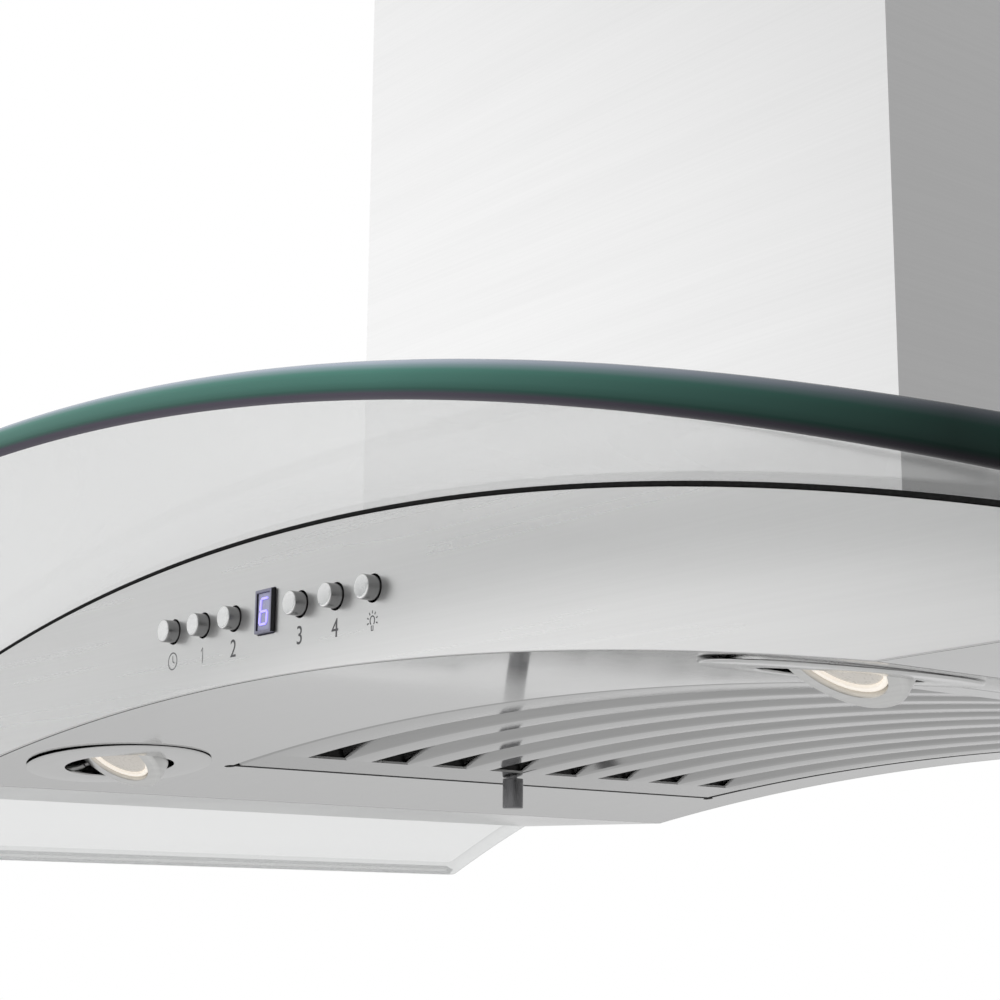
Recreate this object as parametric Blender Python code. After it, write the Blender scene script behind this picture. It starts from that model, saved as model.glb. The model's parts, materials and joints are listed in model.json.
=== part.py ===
"""Island range hood with a curved glass canopy, built as an assembly of separate named parts.

Metres, +Z up, front facing -Y. The origin is on the ceiling, over the middle of the chimney.
Heights with the suffix _H are measured up from the crest of the body's curved underside.
"""
import bpy
import bmesh
from math import acos, asin, cos, pi, radians, sin, sqrt
from mathutils import Euler, Matrix, Vector

# Driving dimensions.
CREST_Z = -0.800            # crest of the body's underside, below the ceiling
GAP = 0.0003                # air between two parts that touch
SHEET = 0.0012              # body sheet steel

GLASS_LENGTH = 0.900
GLASS_THICK = 0.0085
GLASS_FRONT_OVERHANG = 0.117
GLASS_REAR_OVERHANG = 0.012
GLASS_CUTOUT = (0.250, 0.164)
GASKET_WIDE = 0.0060
GASKET_TALL = 0.0015

BODY_FRONT_Y = -0.237
BODY_REAR_Y = 0.171
CROWN_H = 0.0465            # crown of the body's top edge
TOP_RADIUS = 1.1325         # curve of the top edge and of the glass
LOW_RADIUS = 1.570          # curve of the underside
KINK_X = 0.2523             # where the underside turns out to the tips
TIP_X = 0.372               # tips of the crescent fascia
ARC_STEPS = 22

BUTTON_PITCH = 0.020
CONTROLS_X = -0.0035         # middle of the row of controls
BUTTON_H = 0.0216
BUTTON_RADIUS = 0.0039
BUTTON_PROUD = 0.0045
BUTTON_SLOTS = {"button_timer": -3, "button_speed_1": -2, "button_speed_2": -1,
                "button_speed_3": 1, "button_speed_4": 2, "button_light": 3}
DISPLAY_SIZE = (0.0105, 0.0150)

LAMP_X = 0.196
LAMP_Y = BODY_FRONT_Y + 0.052
LAMP_TRIM_RADIUS = 0.0375
LAMP_APERTURE = 0.0220
LAMP_RIM_RADIUS = 0.0205
LAMP_LENS_RADIUS = 0.0142
LAMP_TILT = radians(33.0)   # beam turned towards the front
LAMP_PIVOT_DEPTH = 0.005    # pivot above the underside

FILTER_HALF = 0.1858
FILTER_FRONT_Y = BODY_FRONT_Y + 0.1025
FILTER_REAR_Y = BODY_FRONT_Y + 0.3800
FILTER_DEEP = 0.0120
SLOT_COUNT = 8
SLOT_PITCH = 0.0323
SLOT_WIDTH = 0.0180
SLOT_HALF = 0.1615
SLOT_SHIFT = 0.0030         # the row of slots sits behind the tray's middle
FLANGE_RISE = 0.0065        # folded edges of the slots
FLANGE_LEAN = 0.0016        # how far a folded edge leans over its slot
SEAM = 0.0020               # gap round the filter
KNOB_X = -0.1715
KNOB_Y = BODY_FRONT_Y + 0.240
KNOB_RADIUS = 0.0047
KNOB_DROP = 0.0135
PIN_X = 0.1825
PIN_RADIUS = 0.0015

CHIMNEY = (0.296, 0.200)    # lower cover, outside
CHIMNEY_WALL = 0.0010
LOWER_COVER_TOP = -0.340
UPPER_COVER_BOTTOM = -0.400
UPPER_COVER_TOP = -0.0010

POST_LEG = 0.020
POST_THICK = 0.002
POST_CORNER = (0.1375, 0.0885)
BAND_TALL = 0.028
FRAME_LAP_TOP = -0.330
FRAME_LAP_BOTTOM = -0.430

PLATE_H = 0.0580            # underside of the blower plate
PLATE_THICK = 0.0020
FLANGE_TALL = 0.025
DUCT_RADIUS = 0.0747
DRUM_RADIUS = 0.0860
DRUM_TOP_H = 0.200
SPIGOT_H = 0.240
FLAP_H = 0.262
COLLAR_TOP_H = 0.300

TOP_CENTRE_Z = CREST_Z + CROWN_H - TOP_RADIUS
LOW_CENTRE_Z = CREST_Z - LOW_RADIUS
GLASS_RADIUS = TOP_RADIUS + 0.0018
PLATE_Z = CREST_Z + PLATE_H
SIDES = {"left": -1, "right": 1}


def material(name, colour, roughness, metallic=0.0, glow=0.0, alpha=1.0):
    """A Principled material with this part's colour and finish."""
    made = bpy.data.materials.new(name)
    made.use_nodes = True
    shader = made.node_tree.nodes["Principled BSDF"]
    shader.inputs["Base Color"].default_value = (*colour, 1.0)
    shader.inputs["Roughness"].default_value = roughness
    shader.inputs["Metallic"].default_value = metallic
    shader.inputs["Alpha"].default_value = alpha
    if glow:
        shader.inputs["Emission Color"].default_value = (*colour, 1.0)
        shader.inputs["Emission Strength"].default_value = glow
    return made


def brushed_steel(name):
    return material(name, (0.62, 0.62, 0.61), 0.30, 1.0)


def polished_steel(name):
    return material(name, (0.66, 0.66, 0.65), 0.14, 1.0)


def zinc_steel(name):
    return material(name, (0.45, 0.46, 0.47), 0.42, 1.0)


def black_rubber(name):
    return material(name, (0.015, 0.015, 0.015), 0.75)


def grey_plastic(name, colour=(0.10, 0.10, 0.11)):
    return material(name, colour, 0.50)


def finish(name, mesh_data, finish_material, smooth=False):
    """Turn a bmesh into a linked object with outward faces."""
    bmesh.ops.recalc_face_normals(mesh_data, faces=mesh_data.faces)
    mesh = bpy.data.meshes.new(name)
    mesh_data.to_mesh(mesh)
    mesh_data.free()
    made = bpy.data.objects.new(name, mesh)
    bpy.context.scene.collection.objects.link(made)
    if finish_material:
        mesh.materials.append(finish_material)
    if smooth:
        for polygon in mesh.polygons:
            polygon.use_smooth = True
    return made


def add_block(mesh_data, low, high):
    """Add a closed box between two corners."""
    corners = [(x, y, z) for x in (low[0], high[0]) for y in (low[1], high[1]) for z in (low[2], high[2])]
    verts = [mesh_data.verts.new(corner) for corner in corners]
    for ring in ((0, 1, 3, 2), (4, 6, 7, 5), (0, 4, 5, 1), (2, 3, 7, 6), (0, 2, 6, 4), (1, 5, 7, 3)):
        mesh_data.faces.new([verts[i] for i in ring])


def blocks(name, corner_pairs, finish_material):
    """One object made of separate closed boxes."""
    mesh_data = bmesh.new()
    for low, high in corner_pairs:
        add_block(mesh_data, low, high)
    return finish(name, mesh_data, finish_material)


def add_prism(mesh_data, outline, axis, start, end):
    """Add a flat outline extruded along one axis. The outline holds the other two coordinates."""
    rings = []
    for level in (start, end):
        points = [list(point) for point in outline]
        for point in points:
            point.insert("XYZ".index(axis), level)
        rings.append([mesh_data.verts.new(point) for point in points])
    count = len(outline)
    mesh_data.faces.new(rings[0])
    mesh_data.faces.new(list(reversed(rings[1])))
    for i in range(count):
        j = (i + 1) % count
        mesh_data.faces.new((rings[0][i], rings[0][j], rings[1][j], rings[1][i]))


def prism(name, outline, axis, start, end, finish_material):
    mesh_data = bmesh.new()
    add_prism(mesh_data, outline, axis, start, end)
    return finish(name, mesh_data, finish_material)


def add_lathe(mesh_data, profile, steps, place=None):
    """Add a closed (radius, height) profile turned about Z. Zero radii close on the axis."""
    place = place or Matrix.Identity(4)
    rings = []
    for radius, height in profile:
        if radius == 0.0:
            rings.append([mesh_data.verts.new(place @ Vector((0.0, 0.0, height)))])
            continue
        turns = [2.0 * pi * i / steps for i in range(steps)]
        rings.append([mesh_data.verts.new(place @ Vector((radius * cos(a), radius * sin(a), height)))
                      for a in turns])
    for first, second in zip(rings, rings[1:] + rings[:1]):
        if len(first) == 1 and len(second) == 1:
            continue
        for i in range(steps):
            j = (i + 1) % steps
            if len(first) == 1:
                mesh_data.faces.new((first[0], second[j], second[i]))
            elif len(second) == 1:
                mesh_data.faces.new((first[i], first[j], second[0]))
            else:
                mesh_data.faces.new((first[i], first[j], second[j], second[i]))


def lathe(name, profile, steps, finish_material, places=(None,)):
    """One object of turned solids, one for each place."""
    mesh_data = bmesh.new()
    for place in places:
        add_lathe(mesh_data, profile, steps, place)
    return finish(name, mesh_data, finish_material, smooth=True)


def rod_profile(radius, low, high):
    return [(0.0, low), (radius, low), (radius, high), (0.0, high)]


def add_arc_sweep(mesh_data, section, x_low, x_high, centre_z, radius, steps=ARC_STEPS):
    """Add a section of (y, rise) points swept along an arc in the XZ plane."""
    first, last = asin(x_low / radius), asin(x_high / radius)
    rings = []
    for i in range(steps + 1):
        turn = first + (last - first) * i / steps
        rings.append([mesh_data.verts.new((sin(turn) * (radius + rise), y,
                                           centre_z + cos(turn) * (radius + rise)))
                      for y, rise in section])
    mesh_data.faces.new(rings[0])
    mesh_data.faces.new(list(reversed(rings[-1])))
    count = len(section)
    for ring, after in zip(rings, rings[1:]):
        for i in range(count):
            j = (i + 1) % count
            mesh_data.faces.new((ring[i], ring[j], after[j], after[i]))


def arc_sweep(name, section, x_low, x_high, centre_z, radius, finish_material, steps=ARC_STEPS):
    mesh_data = bmesh.new()
    add_arc_sweep(mesh_data, section, x_low, x_high, centre_z, radius, steps)
    return finish(name, mesh_data, finish_material)


def rectangle(low_y, high_y, low_rise, high_rise):
    return [(low_y, low_rise), (high_y, low_rise), (high_y, high_rise), (low_y, high_rise)]


def cut(target, cutter, operation="DIFFERENCE"):
    """Cut or join with a hidden helper object."""
    cutter.hide_render = True
    cutter.hide_viewport = False
    cutter.display_type = "WIRE"
    modifier = target.modifiers.new("Cut with " + cutter.name, "BOOLEAN")
    modifier.object = cutter
    modifier.operation = operation
    modifier.solver = "EXACT"


def along_y(x, y, z):
    """Place that turns a lathe's height axis to +Y."""
    return Matrix.Translation((x, y, z)) @ Euler((-pi / 2, 0.0, 0.0)).to_matrix().to_4x4()


def along_x(x, y, z, sign=1):
    """Place that turns a lathe's height axis to +X or -X."""
    return Matrix.Translation((x, y, z)) @ Euler((0.0, sign * pi / 2, 0.0)).to_matrix().to_4x4()


def arc_z(x, centre_z, radius):
    return centre_z + sqrt(radius * radius - x * x)


def spread(low, high, steps):
    return [low + (high - low) * i / steps for i in range(steps + 1)]


def hinge_on(moving, point):
    """Move an object's origin to a point of its joint's axis."""
    moving.data.transform(Matrix.Translation(-Vector(point)))
    moving.location = point


# Body shell.

def crescent_outline():
    """Fascia outline: curved top edge, curved underside, straight run out to the tips."""
    top = [(x, arc_z(x, TOP_CENTRE_Z, TOP_RADIUS)) for x in spread(-TIP_X, TIP_X, ARC_STEPS)]
    low = [(x, arc_z(x, LOW_CENTRE_Z, LOW_RADIUS)) for x in spread(KINK_X, -KINK_X, ARC_STEPS)]
    tip_z = arc_z(TIP_X, TOP_CENTRE_Z, TOP_RADIUS) - SHEET
    return top + [(TIP_X, tip_z)] + low + [(-TIP_X, tip_z)]


def front_fascia():
    made = prism("front_fascia", crescent_outline(), "Y", BODY_FRONT_Y, BODY_FRONT_Y + SHEET,
                 brushed_steel("Fascia steel"))
    z = CREST_Z + BUTTON_H
    holes = [along_y(CONTROLS_X + slot * BUTTON_PITCH, BODY_FRONT_Y, z) for slot in BUTTON_SLOTS.values()]
    cut(made, lathe("cut_button_holes", rod_profile(BUTTON_RADIUS + 0.0005, -0.005, 0.005), 16, None, holes))
    wide, tall = DISPLAY_SIZE
    cut(made, blocks("cut_display_hole", [((CONTROLS_X - wide / 2, BODY_FRONT_Y - 0.005, z - tall / 2),
                                           (CONTROLS_X + wide / 2, BODY_FRONT_Y + 0.005, z + tall / 2))],
                                           None))


def rear_panel():
    prism("rear_panel", crescent_outline(), "Y", BODY_REAR_Y - SHEET, BODY_REAR_Y,
          brushed_steel("Rear panel steel"))


def inner_y():
    """The two inner faces of the fascia and the rear panel, less the gap."""
    return BODY_FRONT_Y + SHEET + GAP, BODY_REAR_Y - SHEET - GAP


def top_plate():
    front, rear = inner_y()
    made = arc_sweep("top_plate", rectangle(front, rear, -GAP - SHEET, -GAP), -0.352, 0.352,
                     TOP_CENTRE_Z, TOP_RADIUS, zinc_steel("Top plate steel"))
    z = CREST_Z + CROWN_H
    cut(made, lathe("cut_top_plate_neck", rod_profile(0.0745, z - 0.02, z + 0.02), 32, None))
    cut(made, lathe("cut_top_plate_bolts", rod_profile(0.0029, z - 0.02, z + 0.02), 12, None, bolt_places()))


def underside_panel():
    front, rear = inner_y()
    made = arc_sweep("underside_panel", rectangle(front, rear, 0.0, SHEET), -KINK_X + GAP, KINK_X - GAP,
                     LOW_CENTRE_Z, LOW_RADIUS, polished_steel("Underside steel"))
    cut(made, blocks("cut_filter_opening", [((-FILTER_HALF - SEAM, FILTER_FRONT_Y - SEAM, CREST_Z - 0.05),
                                             (FILTER_HALF + SEAM, FILTER_REAR_Y + SEAM, CREST_Z + 0.02))],
                                             None))
    corners = [Matrix.Translation((x, y, 0.0)) for x in (-FILTER_HALF - SEAM, FILTER_HALF + SEAM)
               for y in (FILTER_FRONT_Y - SEAM, FILTER_REAR_Y + SEAM)]
    cut(made, lathe("cut_corner_reliefs", rod_profile(0.0025, CREST_Z - 0.05, CREST_Z + 0.02), 16, None,
                    corners))
    cut(made, lathe("cut_lamp_holes", rod_profile(0.0315, -0.01, 0.01), 24, None,
                    [lamp_place(sign) for sign in SIDES.values()]))


def end_panels():
    front, rear = inner_y()
    low = (KINK_X + GAP, arc_z(KINK_X, LOW_CENTRE_Z, LOW_RADIUS))
    tip = (0.366, arc_z(TIP_X, TOP_CENTRE_Z, TOP_RADIUS) - SHEET - 0.0003)
    outline = [low, tip, (tip[0], tip[1] + SHEET), (low[0], low[1] + SHEET)]
    for side, sign in SIDES.items():
        prism("end_panel_" + side, [(sign * x, z) for x, z in outline], "Y", front, rear,
              polished_steel("End panel steel " + side))


def glass_canopy():
    front = BODY_FRONT_Y - GLASS_FRONT_OVERHANG
    rear = BODY_REAR_Y + GLASS_REAR_OVERHANG
    made = arc_sweep("glass_canopy", rectangle(front, rear, 0.0, GLASS_THICK), -GLASS_LENGTH / 2,
                     GLASS_LENGTH / 2, TOP_CENTRE_Z, GLASS_RADIUS,
                     material("Canopy glass", (0.80, 0.90, 0.88), 0.03, alpha=0.35), 26)
    wide, deep = GLASS_CUTOUT
    cut(made, blocks("cut_glass", [((-wide / 2, -deep / 2, PLATE_Z - 0.06),
                                    (wide / 2, deep / 2, PLATE_Z + 0.02))],
                     None))


def glass_gaskets():
    """Soft strips between the glass and the top edges of the fascia and rear panel."""
    for name, low in (("glass_gasket_front", BODY_FRONT_Y),
                      ("glass_gasket_rear", BODY_REAR_Y - GASKET_WIDE)):
        arc_sweep(name, rectangle(low, low + GASKET_WIDE, GAP, GASKET_TALL), -TIP_X, TIP_X, TOP_CENTRE_Z,
                  TOP_RADIUS, black_rubber(name + " rubber"))


# Controls.

def buttons():
    """Push buttons that slide along +Y."""
    front = BODY_FRONT_Y
    profile = [(0.0, -BUTTON_PROUD), (BUTTON_RADIUS - 0.0004, -BUTTON_PROUD),
               (BUTTON_RADIUS, -BUTTON_PROUD + 0.0004),
               (BUTTON_RADIUS, SHEET + 0.0012), (0.0055, SHEET + 0.0012), (0.0055, SHEET + 0.0024),
               (0.0020, SHEET + 0.0024), (0.0020, 0.0080), (0.0, 0.0080)]
    for name, slot in BUTTON_SLOTS.items():
        made = lathe(name, profile, 20, material(name + " steel", (0.60, 0.60, 0.60), 0.22, 1.0))
        made.matrix_world = along_y(CONTROLS_X + slot * BUTTON_PITCH, front, CREST_Z + BUTTON_H)


def button_holder():
    """Guide plate behind the buttons, with a bore for each stem and a window for the display."""
    z = CREST_Z + BUTTON_H
    made = blocks("button_holder", [((CONTROLS_X - 0.070, BODY_FRONT_Y + 0.0055, z - 0.012),
                                     (CONTROLS_X + 0.070, BODY_FRONT_Y + 0.0073, z + 0.012))],
                  grey_plastic("Holder plastic"))
    places = [along_y(CONTROLS_X + slot * BUTTON_PITCH, BODY_FRONT_Y, z) for slot in BUTTON_SLOTS.values()]
    cut(made, lathe("cut_stem_bores", rod_profile(0.0023, 0.0, 0.02), 16, None, places))


def control_board():
    """Circuit board with a push switch behind each button's stem."""
    z = CREST_Z + BUTTON_H
    front = BODY_FRONT_Y + 0.0115
    made = blocks("control_board", [((CONTROLS_X - 0.072, front, z - 0.013),
                                     (CONTROLS_X + 0.072, front + 0.0016, z + 0.013))],
                  material("Board resin", (0.02, 0.14, 0.06), 0.55))
    half = 0.003
    pairs = [((CONTROLS_X + slot * BUTTON_PITCH - half, front - 0.0023, z - half),
              (CONTROLS_X + slot * BUTTON_PITCH + half, front + 0.0010,
               z + half)) for slot in BUTTON_SLOTS.values()]
    cut(made, blocks("join_switches", pairs, None), "UNION")


def display():
    """Framed window with one seven-segment digit."""
    z = CREST_Z + BUTTON_H
    wide, tall = DISPLAY_SIZE
    front = BODY_FRONT_Y
    bezel = blocks("display_bezel", [((CONTROLS_X - wide / 2 + GAP, front + 0.0004, z - tall / 2 + GAP),
                                      (CONTROLS_X + wide / 2 - GAP, front + 0.0030, z + tall / 2 - GAP))],
                   grey_plastic("Bezel plastic", (0.42, 0.40, 0.52)))
    inner = 0.0010
    cut(bezel, blocks("cut_bezel", [((CONTROLS_X - wide / 2 + inner, front - 0.001, z - tall / 2 + inner),
                                     (CONTROLS_X + wide / 2 - inner, front + 0.004, z + tall / 2 - inner))],
                                     None))
    blocks("display_window", [((CONTROLS_X - 0.0065, front + 0.0033, z - 0.009),
                                (CONTROLS_X + 0.0065, front + 0.0045, z + 0.009))],
           material("Display window", (0.30, 0.28, 0.42), 0.20))
    display_digit(front + 0.0026, z)


def display_digit(y, z):
    """Figure of seven lit bars: a plate with two windows."""
    half_wide, half_tall, bar, deep = 0.0021, 0.0040, 0.0009, 0.0004
    left, right = CONTROLS_X - half_wide, CONTROLS_X + half_wide
    made = blocks("display_digit", [((left - bar / 2, y, z - half_tall - bar / 2),
                                     (right + bar / 2, y + deep, z + half_tall + bar / 2))],
                  material("Digit light", (0.25, 0.22, 1.0), 0.4, glow=3.0))
    windows = [((left + bar / 2, y - 0.001, low + bar / 2), (right - bar / 2, y + 0.001,
                                                             low + half_tall - bar / 2))
               for low in (z - half_tall, z)]
    cut(made, blocks("cut_digit", windows, None))


# Lamps.

def lamp_place(sign):
    """Frame of one lamp on the curved underside, its +Z pointing into the body."""
    turn = asin(sign * LAMP_X / LOW_RADIUS)
    point = (sign * LAMP_X, LAMP_Y, arc_z(LAMP_X, LOW_CENTRE_Z, LOW_RADIUS))
    return Matrix.Translation(point) @ Euler((0.0, turn, 0.0)).to_matrix().to_4x4()


def lamp_pivot(sign):
    """Tilted frame of the lamp's swinging part, at its pivot."""
    tilt = Euler((-LAMP_TILT, 0.0, 0.0)).to_matrix().to_4x4()
    return lamp_place(sign) @ Matrix.Translation((0.0, 0.0, LAMP_PIVOT_DEPTH)) @ tilt


def lamps():
    trim = [(LAMP_APERTURE, -0.0022), (LAMP_TRIM_RADIUS - 0.0006, -0.0018), (LAMP_TRIM_RADIUS, -0.0012),
            (LAMP_TRIM_RADIUS, -0.0008), (0.0300, -0.0008), (0.0300, 0.0240), (0.0290, 0.0240),
            (0.0290, 0.0010), (LAMP_APERTURE, -0.0008)]
    cup = [(0.0150, -0.0042), (LAMP_RIM_RADIUS - 0.0012, -0.0042), (LAMP_RIM_RADIUS, -0.0030),
           (LAMP_RIM_RADIUS, 0.0040), (0.0165, 0.0080), (0.0155, 0.0180), (0.0, 0.0180), (0.0, 0.0165),
           (0.0142, 0.0165), (0.0150, 0.0080)]
    lens = rod_profile(LAMP_LENS_RADIUS + 0.0004, -0.0020, 0.0)
    for side, sign in SIDES.items():
        lathe("lamp_trim_" + side, trim, 32,
              polished_steel("Trim steel " + side)).matrix_world = lamp_place(sign)
        pivot = lamp_pivot(sign)
        shell = lathe("lamp_cup_" + side, cup, 24,
                      material("Cup satin " + side, (0.55, 0.56, 0.57), 0.35, 1.0))
        shell.matrix_world = pivot
        pins = lathe("join_pivots_" + side, rod_profile(0.0012, 0.0180, 0.0285), 12, None,
                     [along_x(0.0, 0.0, 0.0, 1), along_x(0.0, 0.0, 0.0, -1)])
        pins.matrix_world = pivot
        cut(shell, pins, "UNION")
        lathe("lamp_lens_" + side, lens, 24,
              material("Lens light " + side, (1.0, 0.86, 0.68), 0.35, glow=4.0)).matrix_world = pivot


# Grease filter.

def slot_centres():
    middle = (FILTER_FRONT_Y + FILTER_REAR_Y) / 2 + SLOT_SHIFT
    return [middle + (i - (SLOT_COUNT - 1) / 2) * SLOT_PITCH for i in range(SLOT_COUNT)]


def filter_tray():
    """Pressed tray: long slots with folded edges, walls on four sides, bores for its pins and knob."""
    made = arc_sweep("filter_tray", rectangle(FILTER_FRONT_Y, FILTER_REAR_Y, 0.0, FILTER_DEEP), -FILTER_HALF,
                     FILTER_HALF, LOW_CENTRE_Z, LOW_RADIUS, polished_steel("Filter steel"))
    wall = 0.0010
    inside = rectangle(FILTER_FRONT_Y + wall, FILTER_REAR_Y - wall, wall, 0.03)
    cut(made, arc_sweep("cut_tray_inside", inside, -FILTER_HALF + wall, FILTER_HALF - wall, LOW_CENTRE_Z,
                        LOW_RADIUS, None, ARC_STEPS + 1))
    half = SLOT_WIDTH / 2
    slots = [((-SLOT_HALF, y - half, CREST_Z - 0.030), (SLOT_HALF, y + half, CREST_Z + 0.006))
             for y in slot_centres()]
    cut(made, blocks("cut_tray_slots", slots, None))
    mesh_data = bmesh.new()
    for y in slot_centres():
        for sign in (-1, 1):
            foot = y + sign * (SLOT_WIDTH / 2 + 0.0002)
            top = foot - sign * FLANGE_LEAN
            section = [(foot, 0.0005), (foot + sign * 0.0008, 0.0005), (top + sign * 0.0008, FLANGE_RISE),
                       (top, FLANGE_RISE)]
            add_arc_sweep(mesh_data, section, -SLOT_HALF, SLOT_HALF, LOW_CENTRE_Z, LOW_RADIUS, 12)
    cut(made, finish("join_slot_flanges", mesh_data, None), "UNION")
    knob_z = arc_z(KNOB_X, LOW_CENTRE_Z, LOW_RADIUS)
    cut(made, lathe("cut_knob_bore", rod_profile(0.0023, knob_z - 0.01, knob_z + 0.005), 16, None,
                    [Matrix.Translation((KNOB_X, KNOB_Y, 0.0))]))
    cut(made, lathe("cut_pin_bores", rod_profile(PIN_RADIUS + GAP, -0.16, 0.16), 12, None,
                    [along_y(PIN_X, (FILTER_FRONT_Y + FILTER_REAR_Y) / 2, pin_z())]))
    mesh_data = bmesh.new()
    add_block(mesh_data, (-FILTER_HALF - 0.002, KNOB_Y - 0.006, knob_z + 0.0008),
              (-FILTER_HALF + 0.006, KNOB_Y + 0.014, knob_z + 0.0040))
    cut(made, finish("cut_catch_slot", mesh_data, None))


def filter_baffles():
    """Inverted channels over the slots, which turn the air twice, joined by a bridge at each end."""
    mesh_data = bmesh.new()
    half, thick = 0.0128, 0.0008
    low, high = 0.0040, 0.0100
    for y in slot_centres():
        section = [(y - half, low), (y - half + thick, low), (y - half + thick, high - thick),
                   (y + half - thick, high - thick), (y + half - thick, low), (y + half, low),
                   (y + half, high), (y - half, high)]
        add_arc_sweep(mesh_data, section, -0.1642, 0.1642, LOW_CENTRE_Z, LOW_RADIUS, 8)
    channels = finish("join_channels", mesh_data, None)
    front, rear = FILTER_FRONT_Y + 0.0014, FILTER_REAR_Y - 0.0014
    bridge = rectangle(front, rear, 0.0013, 0.0112)
    made = arc_sweep("filter_baffles", bridge, -0.1650, -0.1630, LOW_CENTRE_Z, LOW_RADIUS,
                     polished_steel("Baffle steel"), 1)
    cut(made, channels, "UNION")
    cut(made, arc_sweep("join_bridge", bridge, 0.1630, 0.1650, LOW_CENTRE_Z, LOW_RADIUS, None, 1), "UNION")


def filter_knob():
    """Turning knob under the tray, its stem through the tray's bore."""
    z = arc_z(KNOB_X, LOW_CENTRE_Z, LOW_RADIUS) - 0.0008
    profile = [(0.0, -KNOB_DROP), (KNOB_RADIUS - 0.0006, -KNOB_DROP), (KNOB_RADIUS, -KNOB_DROP + 0.0006),
               (KNOB_RADIUS, 0.0), (0.0020, 0.0), (0.0020, 0.0040), (0.0, 0.0040)]
    made = lathe("filter_knob", profile, 28, material("Knob metal", (0.20, 0.20, 0.21), 0.30, 1.0))
    made.location = (KNOB_X, KNOB_Y, z)


def filter_catch():
    """Flat tongue on the knob's stem, which reaches into the gap beside the tray."""
    base = arc_z(KNOB_X, LOW_CENTRE_Z, LOW_RADIUS)
    z = base + 0.0019
    made = blocks("filter_catch", [((-FILTER_HALF - 0.0007, KNOB_Y - 0.004, z),
                                    (KNOB_X + 0.004, KNOB_Y + 0.004, z + 0.0015))],
                  zinc_steel("Catch steel"))
    cut(made, lathe("cut_catch", rod_profile(0.0023, z - 0.01, z + 0.01), 16, None,
                    [Matrix.Translation((KNOB_X, KNOB_Y, 0.0))]))


def pin_z():
    return arc_z(PIN_X, LOW_CENTRE_Z, LOW_RADIUS) + 0.0031


def filter_hinge_rod():
    """Rod through the tray's right end, in a bracket at each end."""
    middle = (FILTER_FRONT_Y + FILTER_REAR_Y) / 2
    half = (FILTER_REAR_Y - FILTER_FRONT_Y) / 2 + 0.0075
    lathe("filter_hinge_rod", rod_profile(PIN_RADIUS, -half, half), 14, zinc_steel("Rod steel"),
          [along_y(PIN_X, middle, pin_z())])


def pin_brackets():
    """Bored blocks on the inside of the underside panel, one for each end of the hinge rod."""
    z = pin_z()
    reach = 0.0024
    base = arc_z(PIN_X - 0.007, LOW_CENTRE_Z, LOW_RADIUS) + SHEET + GAP
    for name, low, high in (("hinge_bracket_front", FILTER_FRONT_Y - 0.0090, FILTER_FRONT_Y - reach),
                            ("hinge_bracket_rear", FILTER_REAR_Y + reach, FILTER_REAR_Y + 0.0090)):
        made = blocks(name, [((PIN_X - 0.007, low, base), (PIN_X + 0.007, high, z + 0.006))],
                      zinc_steel(name + " steel"))
        cut(made, lathe("cut_" + name, rod_profile(PIN_RADIUS + GAP, low - 0.002, high + 0.002), 14, None,
                        [along_y(PIN_X, 0.0, z)]))


def filter_stops():
    """Angle strips above the tray's front and rear edges, which it closes against."""
    lip, web, thick = 0.0085, 0.0030, 0.0010
    top = FILTER_DEEP + 0.0006
    for name, edge, sign in (("filter_stop_front", FILTER_FRONT_Y, 1),
                             ("filter_stop_rear", FILTER_REAR_Y, -1)):
        back = edge - sign * web
        section = [(back, SHEET + GAP), (back + sign * thick, SHEET + GAP), (back + sign * thick, top),
                   (edge + sign * (lip - web), top), (edge + sign * (lip - web), top + thick),
                   (back, top + thick)]
        arc_sweep(name, section, -0.160, 0.160, LOW_CENTRE_Z, LOW_RADIUS, zinc_steel(name + " steel"), 8)


# Blower.

def bolt_places():
    return [Matrix.Translation((x, y, 0.0)) for x in (-0.115, 0.115) for y in (-0.072, 0.072)]


def channel(name, z_face, flange, half_long, half_deep, thick, finish_material):
    """Plate with a flange along each short side. A positive flange stands up, a negative one hangs."""
    sign = 1 if flange > 0 else -1
    outline = [(-half_long, z_face), (half_long, z_face), (half_long, z_face + flange),
               (half_long - thick, z_face + flange), (half_long - thick, z_face + sign * thick),
               (-half_long + thick, z_face + sign * thick), (-half_long + thick, z_face + flange),
               (-half_long, z_face + flange)]
    return prism(name, outline, "Y", -half_deep, half_deep, finish_material)


def flange_half():
    """Outer half width of the blower plate, which sits inside the lower posts."""
    return POST_CORNER[0] - POST_THICK - GAP


def blower_plate():
    made = channel("blower_plate", PLATE_Z, FLANGE_TALL, flange_half(), 0.0862, PLATE_THICK,
                   zinc_steel("Blower plate steel"))
    cut(made, lathe("cut_plate_inlet", rod_profile(0.0620, PLATE_Z - 0.01, PLATE_Z + 0.01), 32, None))
    cut(made, lathe("cut_plate_bolts", rod_profile(0.0029, PLATE_Z - 0.01, PLATE_Z + 0.01), 12, None,
                    bolt_places()))
    cut(made, lathe("cut_plate_sides", rod_profile(0.0023, -0.2, 0.2), 10, None,
                    side_bolt_places(PLATE_Z + 0.015)))


def side_bolt_places(z):
    """Axes along X through both legs at the front and at the rear."""
    return [along_x(0.0, y, z) for y in (-0.0785, 0.0785)]


def inlet_neck():
    low, high = CREST_Z + 0.0400, PLATE_Z - GAP
    lathe("inlet_neck", [(0.0728, low), (0.0740, low), (0.0740, high), (0.0728, high)], 32,
          grey_plastic("Neck plastic"))


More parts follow.
